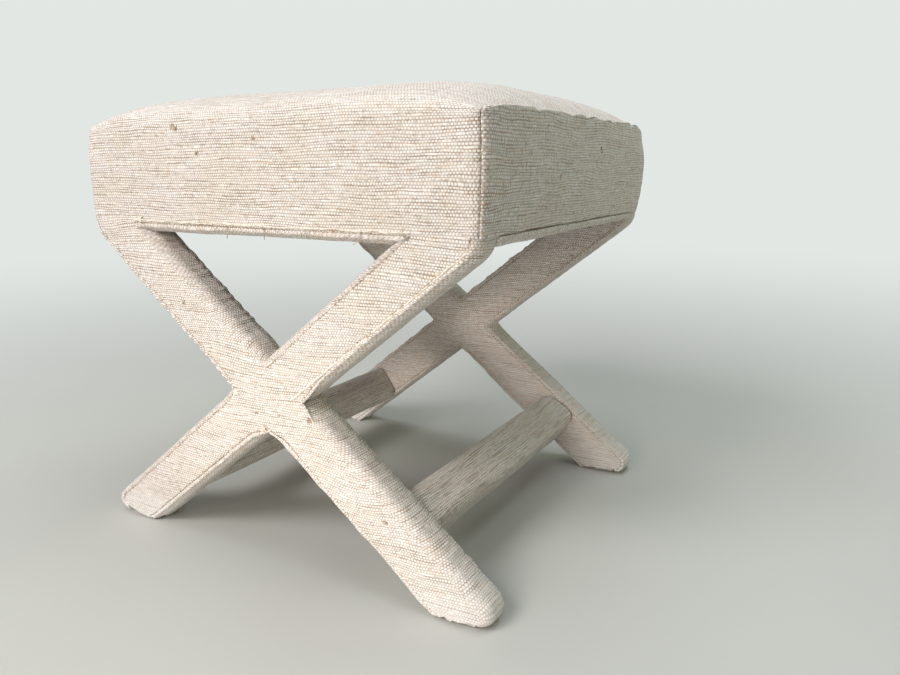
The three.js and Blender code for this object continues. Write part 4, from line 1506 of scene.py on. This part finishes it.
def rib_weave_group():
    """Rows of beads set like bricks: their height, the painted shade of the gaps round them and
    their yarn.
    """
    tree, given, result = new_weave_group()
    calc = partial(math_node, tree)
    cloth = given["Cloth"]
    axes = add_node(tree, "SeparateXYZ", Vector=cloth).outputs
    run = axes["X"]

    wave = calc("SUBTRACT", noise_node(tree, cloth, WANDER_SCALE, detail=3.0), 0.5)
    thickness = noise_node(tree, cloth, THICKNESS_SCALE, detail=1.0)
    down = summed(tree, axes["Y"], (wave, given["Wander"]), (thickness, given["Unevenness"]))
    row = calc("DIVIDE", down, given["Rib Pitch"])
    row_number = calc("FLOOR", row)
    gap_number = calc("ROUND", row)
    yarn_shade = row_noise(tree, run, row_number, "yarn")
    slub_here = ramp_node(tree, row_noise(tree, run, row_number, "slub"), low=0.57, high=0.72)
    long_gap = row_noise(tree, run, gap_number, "long gap")
    short_gap = row_noise(tree, run, gap_number, "short gap")
    gap_depth = summed(tree, long_gap, (short_gap, SHORT_GAP_SHARE))
    gap_depth = ramp_node(tree, gap_depth, low=0.84, high=1.20)

    bead = calc("DIVIDE", run, given["Bead Length"])
    slide = row_noise(tree, run, row_number, "slide")
    bead = summed(tree, bead, (row_number, ROW_SHIFT_SHARE), (slide, SLIDE_SHARE))
    lone = white_noise(tree, calc("FLOOR", bead), row_number)
    lengthwise = calc("SUBTRACT", calc("FRACT", bead), 0.5)
    across = calc("SUBTRACT", calc("FRACT", row), 0.5)
    thick = ramp_node(tree, yarn_shade, low=0.35, high=0.68)
    across_fall = summed(tree, ACROSS_FALL, (thick, THICK_YARN_FALL), (gap_depth, GAP_FALL))
    lengthwise_fall = summed(tree, LENGTHWISE_FALL, (slub_here, SLUB_FALL))
    fall = calc("MULTIPLY", calc("POWER", across, 2.0), across_fall)
    end_fall = calc("MULTIPLY", calc("POWER", lengthwise, 2.0), lengthwise_fall)
    fall = calc("ADD", fall, end_fall)
    dome = calc("SQRT", calc("SUBTRACT", 1.0, calc("MINIMUM", fall, 1.0)))
    fibres = noise_node(tree, cloth, FIBRE_SCALE, detail=2.0)
    rises = ((lone, BEAD_RISE_SHARE), (slub_here, SLUB_RISE_SHARE), (fibres, FIBRE_RISE_SHARE))
    # Painted shade in the hollows round each bead, darker where the gap between rows runs deep
    deep = summed(tree, SHALLOW_GAP_SHARE, (gap_depth, 1 - SHALLOW_GAP_SHARE))
    crevice_shade = ramp_node(tree, fall, low=0.22, high=0.95)

    feed(tree, result["Height"], summed(tree, dome, *rises))
    feed(tree, result["Gap Shade"], calc("MULTIPLY", crevice_shade, deep))
    feed(tree, result["Yarn"], yarn_shade)
    feed(tree, result["Bead"], lone)
    return tree


def cover_cloth(weave, name, marks_scale, marks_share, wander):
    """Natural hand-woven cotton: cream beads, painted tan shade in the gaps, pale and warm patches,
    dark marks, painted floor light on the feet.
    """
    material, tree, shader = new_material(name)
    calc = partial(math_node, tree)
    ramp = partial(ramp_node, tree)
    mix = partial(mix_colours, tree)
    place = cloth_place(tree)
    group = tree.nodes.new("ShaderNodeGroup")
    group.node_tree = weave
    feed(tree, group.inputs["Cloth"], place)
    feed(tree, group.inputs["Wander"], wander)
    threads = group.outputs
    patches = noise_node(tree, place, PATCH_SCALE, detail=3.0)
    warm = noise_node(tree, place, WARM_SCALE, detail=3.0)
    marks = noise_node(tree, place, marks_scale, detail=3.0)

    bead = mix(ramp(patches, low=0.36, high=0.60), CREAM, PALE)
    bead = mix(ramp(warm, low=0.55, high=0.83), bead, WARM)
    bead = mix(ramp(threads["Yarn"], low=0.55, high=0.85), bead, PALEST_CREAM)
    bead = mix(calc("MULTIPLY", threads["Bead"], DULL_SHARE), bead, DULL)
    # Painted shade in the gaps between beads, warmer in the warm patches
    gap = mix(ramp(warm, low=0.50, high=0.66), GAP_SHADE, WARM_GAP_SHADE)
    marked = calc("MULTIPLY", ramp(marks, low=0.50, high=0.72), marks_share)
    # The painted gap shade, or a dark mark where one is darker
    shade_and_marks = calc("MAXIMUM", threads["Gap Shade"], marked)

    # Painted light from the floor: the cloth is painted paler towards the floor, and its painted
    # gap shade is lifted there
    height = add_node(tree, "SeparateXYZ", Vector=object_place(tree)).outputs["Z"]
    painted_floor_light = calc("MULTIPLY", ramp(height, low=PAINTED_FLOOR_LIGHT_START, high=PAINTED_FLOOR_LIGHT_FULL), PAINTED_FLOOR_LIGHT_SHARE)
    bead = mix(painted_floor_light, bead, PALEST_CREAM)
    shade_and_marks = calc("MULTIPLY", shade_and_marks, summed(tree, 1.0, (painted_floor_light, -PAINTED_FLOOR_LIGHT_GAP_LIFT)))
    rough = summed(tree, WEAVE_ROUGHNESS, (threads["Gap Shade"], CREVICE_ROUGHNESS))
    colour = mix(shade_and_marks, bead, gap)
    finish(tree, shader, colour, rough, threads["Height"], WEAVE_DEPTH, WEAVE_STRENGTH)
    shader.inputs["Sheen Weight"].default_value = SHEEN
    shader.inputs["Sheen Roughness"].default_value = SHEEN_ROUGHNESS
    return material


def yarn(name, light, dark):
    """Twisted cotton thread, unevenly coloured along its length."""
    material, tree, shader = new_material(name)
    place = object_place(tree)
    shade = noise_node(tree, place, scale=260.0, detail=3.0)
    twist = noise_node(tree, place, scale=2600.0, detail=1.0)
    colour = mix_colours(tree, ramp_node(tree, shade, low=0.34, high=0.66), light, dark)
    finish(tree, shader, colour, YARN_ROUGHNESS, twist, TWIST_DEPTH)
    return material


def wood(name, light, dark, scale):
    """Plain sawn wood with grain along X."""
    material, tree, shader = new_material(name)
    scales = (scale, scale * GRAIN_STRETCH, scale * GRAIN_STRETCH)
    grain = noise_node(tree, object_place(tree), scales, detail=4.0)
    colour = mix_colours(tree, ramp_node(tree, grain, low=0.35, high=0.65), light, dark)
    rough = summed(tree, WOOD_ROUGHNESS, (grain, GRAIN_ROUGHNESS))
    finish(tree, shader, colour, rough, grain, GRAIN_DEPTH)
    return material


def lining_cloth():
    """Thin plain-woven lining."""
    material, tree, shader = new_material("lining_cloth")
    cells = add_node(tree, "Mapping", Vector=cloth_place(tree))
    cells.inputs["Scale"].default_value = (1 / LINING_PITCH, 1 / LINING_PITCH, 1)
    checks = add_node(
        tree,
        "TexWave",
        Vector=cells.outputs["Vector"],
        Scale=LINING_WAVE_SCALE,
        Distortion=LINING_DISTORTION,
    ).outputs["Fac"]
    colour = mix_colours(tree, checks, LINING_DARK, LINING_LIGHT)
    finish(tree, shader, colour, LINING_ROUGHNESS, checks, LINING_DEPTH)
    return material


def steel():
    """Zinc-plated steel with fine marks."""
    material, tree, shader = new_material("zinc_steel")
    marks = noise_node(tree, object_place(tree), scale=900.0, detail=3.0)
    feed(tree, shader.inputs["Base Color"], mix_colours(tree, marks, STEEL_DARK, STEEL_LIGHT))
    rough = summed(tree, STEEL_ROUGHNESS, (marks, MARK_ROUGHNESS))
    feed(tree, shader.inputs["Roughness"], rough)
    shader.inputs["Metallic"].default_value = 1.0
    return material


MATERIALS = {}


def make_materials():
    """One material for each finish."""
    weave = rib_weave_group()
    for name, values in CLOTHS.items():
        MATERIALS[name] = cover_cloth(weave, name, *values)
    for name, colours in YARNS.items():
        MATERIALS[name] = yarn(name, *colours)
    for name, values in WOODS.items():
        MATERIALS[name] = wood(*values)
    MATERIALS["dust_cover_cloth"] = lining_cloth()
    MATERIALS["steel"] = steel()


def dress_frame():
    """Wood and steel on the frame's own parts."""
    for name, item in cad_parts.items():
        if any(word in name for word in COVERED_WORDS):
            continue
        material = "timber"
        if "bolt" in name or "screw" in name:
            material = "steel"
        elif name == "seat_board":
            material = "plywood"
        item.data.materials.clear()
        item.data.materials.append(MATERIALS[material])


# The camera

CAMERA_PLACE = Vector((0.4903, -0.6949, 0.3917))
CAMERA_YAW = math.radians(-30.206)
CAMERA_PITCH = math.radians(13.181)
CAMERA_ROLL = math.radians(-0.281)
CAMERA_SENSOR = 36
CAMERA_NEAR = 0.01
PICTURE_WIDTH = 900
FOCAL_PIXELS = 721.33


def make_camera():
    """The camera at the photograph's place."""
    level = Vector((math.cos(CAMERA_YAW), -math.sin(CAMERA_YAW), 0))
    ahead = Vector((math.sin(CAMERA_YAW), math.cos(CAMERA_YAW), 0))
    forward = ahead * math.cos(CAMERA_PITCH) - Vector((0, 0, math.sin(CAMERA_PITCH)))
    upright = level.cross(forward)
    right = level * math.cos(CAMERA_ROLL) + upright * math.sin(CAMERA_ROLL)
    up = upright * math.cos(CAMERA_ROLL) - level * math.sin(CAMERA_ROLL)
    data = bpy.data.cameras.new("camera")
    data.sensor_width = CAMERA_SENSOR
    data.lens = FOCAL_PIXELS / PICTURE_WIDTH * CAMERA_SENSOR
    data.clip_start = CAMERA_NEAR
    camera = bpy.data.objects.new("camera", data)
    turn = Matrix((right, up, -forward)).transposed().to_4x4()
    camera.matrix_world = Matrix.Translation(CAMERA_PLACE) @ turn
    bpy.context.scene.collection.objects.link(camera)
    bpy.context.scene.camera = camera


# The stage

FLOOR_REACH = 6.0
FLOOR_DARK = (0.51, 0.51, 0.48)
FLOOR_LIGHT = (0.55, 0.55, 0.52)
FLOOR_ROUGHNESS = 0.8
FADE_START = 0.5
FADE_END = 3.5
FADE_SOFTNESS = 0.85
BACKDROP = (0.76, 0.80, 0.775)
AMBIENT_COLOUR = (1.0, 0.90, 0.68)
AMBIENT = 0.086

# Each lamp: its name, its place, what it points at, its size, power and colour, and how wide
# a cone it lights
LAMPS = (
    ("key", (-0.9, -2.7, 2.5), (0, 0, 0.25), 1.5, 87, (1.0, 0.985, 0.975), math.pi),
    ("top", (0.2, 0.1, 2.4), (0, 0, 0.4), 2.0, 38, (0.88, 0.95, 1.0), math.pi),
    ("bounce", (0.85, 1.2, 0.6), (0.1, 0, 0.4), 0.6, 0.9, (0.80, 1.0, 0.74), 1.3),
    ("front", (0.1, -2.4, 0.68), (0, 0, 0.15), 1.2, 21, (1.0, 0.95, 0.88), math.pi),
    ("low", (0.35, -1.9, 0.15), (0, 0, 0.09), 0.25, 0.18, (1.0, 0.93, 0.84), 0.32),
)


def lamp(name, place, aim, size, power, colour, spread):
    """A soft square lamp that points at a place and lights a cone as wide as its spread."""
    data = bpy.data.lights.new(name, "AREA")
    data.shape = "SQUARE"
    data.size = size
    data.energy = power
    data.color = colour
    data.spread = spread
    item = bpy.data.objects.new(name, data)
    item.location = place
    item.rotation_euler = (Vector(aim) - Vector(place)).to_track_quat("-Z", "Y").to_euler()
    item.visible_camera = False
    bpy.context.scene.collection.objects.link(item)


def backdrop_rays(tree):
    """1 for the rays that see the backdrop: straight, mirrored or through glass."""
    rays = tree.nodes.new("ShaderNodeLightPath").outputs
    seen = math_node(tree, "MAXIMUM", rays["Is Camera Ray"], rays["Is Glossy Ray"])
    return math_node(tree, "MAXIMUM", seen, rays["Is Transmission Ray"])


def make_floor():
    """A pale floor that fades into the backdrop as it goes away."""
    x = FLOOR_REACH * np.array([-1, 1, 1, -1])
    y = FLOOR_REACH * np.array([-1, -1, 1, 1])
    floor = new_mesh("floor", stacked(x, y, 0.0), np.array([[0, 1, 2, 3]]))
    material, tree, shader = new_material("floor_paint")
    place = object_place(tree)
    cloud = noise_node(tree, place, scale=3.0, detail=4.0)
    feed(tree, shader.inputs["Base Color"], mix_colours(tree, cloud, FLOOR_DARK, FLOOR_LIGHT))
    shader.inputs["Roughness"].default_value = FLOOR_ROUGHNESS
    length = tree.nodes.new("ShaderNodeVectorMath")
    length.operation = "LENGTH"
    tree.links.new(place, length.inputs[0])
    away = math_node(tree, "ADD", length.outputs["Value"], FADE_SOFTNESS)
    near = math_node(tree, "DIVIDE", 1.0, away)
    low, high = (1 / (distance + FADE_SOFTNESS) for distance in (FADE_START, FADE_END))
    far = math_node(tree, "MULTIPLY", ramp_node(tree, near, low, high), backdrop_rays(tree))
    pale = add_node(tree, "Emission", Color=BACKDROP).outputs["Emission"]
    surface = mix_shaders(tree, far, shader.outputs["BSDF"], pale)
    tree.links.new(surface, tree.nodes["Material Output"].inputs["Surface"])
    floor.data.materials.append(material)


def make_world():
    """A dim warm light from all round, behind which the backdrop is seen."""
    world = bpy.data.worlds.new("studio")
    bpy.context.scene.world = world
    world.use_nodes = True
    tree = world.node_tree
    light = tree.nodes["Background"]
    feed(tree, light.inputs["Color"], AMBIENT_COLOUR)
    feed(tree, light.inputs["Strength"], AMBIENT)
    seen = add_node(tree, "Background", Color=BACKDROP, Strength=1.0)
    shaders = [node.outputs["Background"] for node in (light, seen)]
    surface = mix_shaders(tree, backdrop_rays(tree), *shaders)
    tree.links.new(surface, tree.nodes["World Output"].inputs["Surface"])


def make_stage():
    """The floor, the world and the lamps."""
    bpy.context.scene.view_settings.view_transform = "Standard"
    make_floor()
    make_world()
    for values in LAMPS:
        lamp(*values)


make_camera()
make_materials()
dress_frame()
seat_covers()
for side_name, side_seed in (("front", 200), ("rear", 300)):
    frame_covers(side_name, side_seed)
stretcher_covers()
foot_soles()
dust_cover()
make_stage()
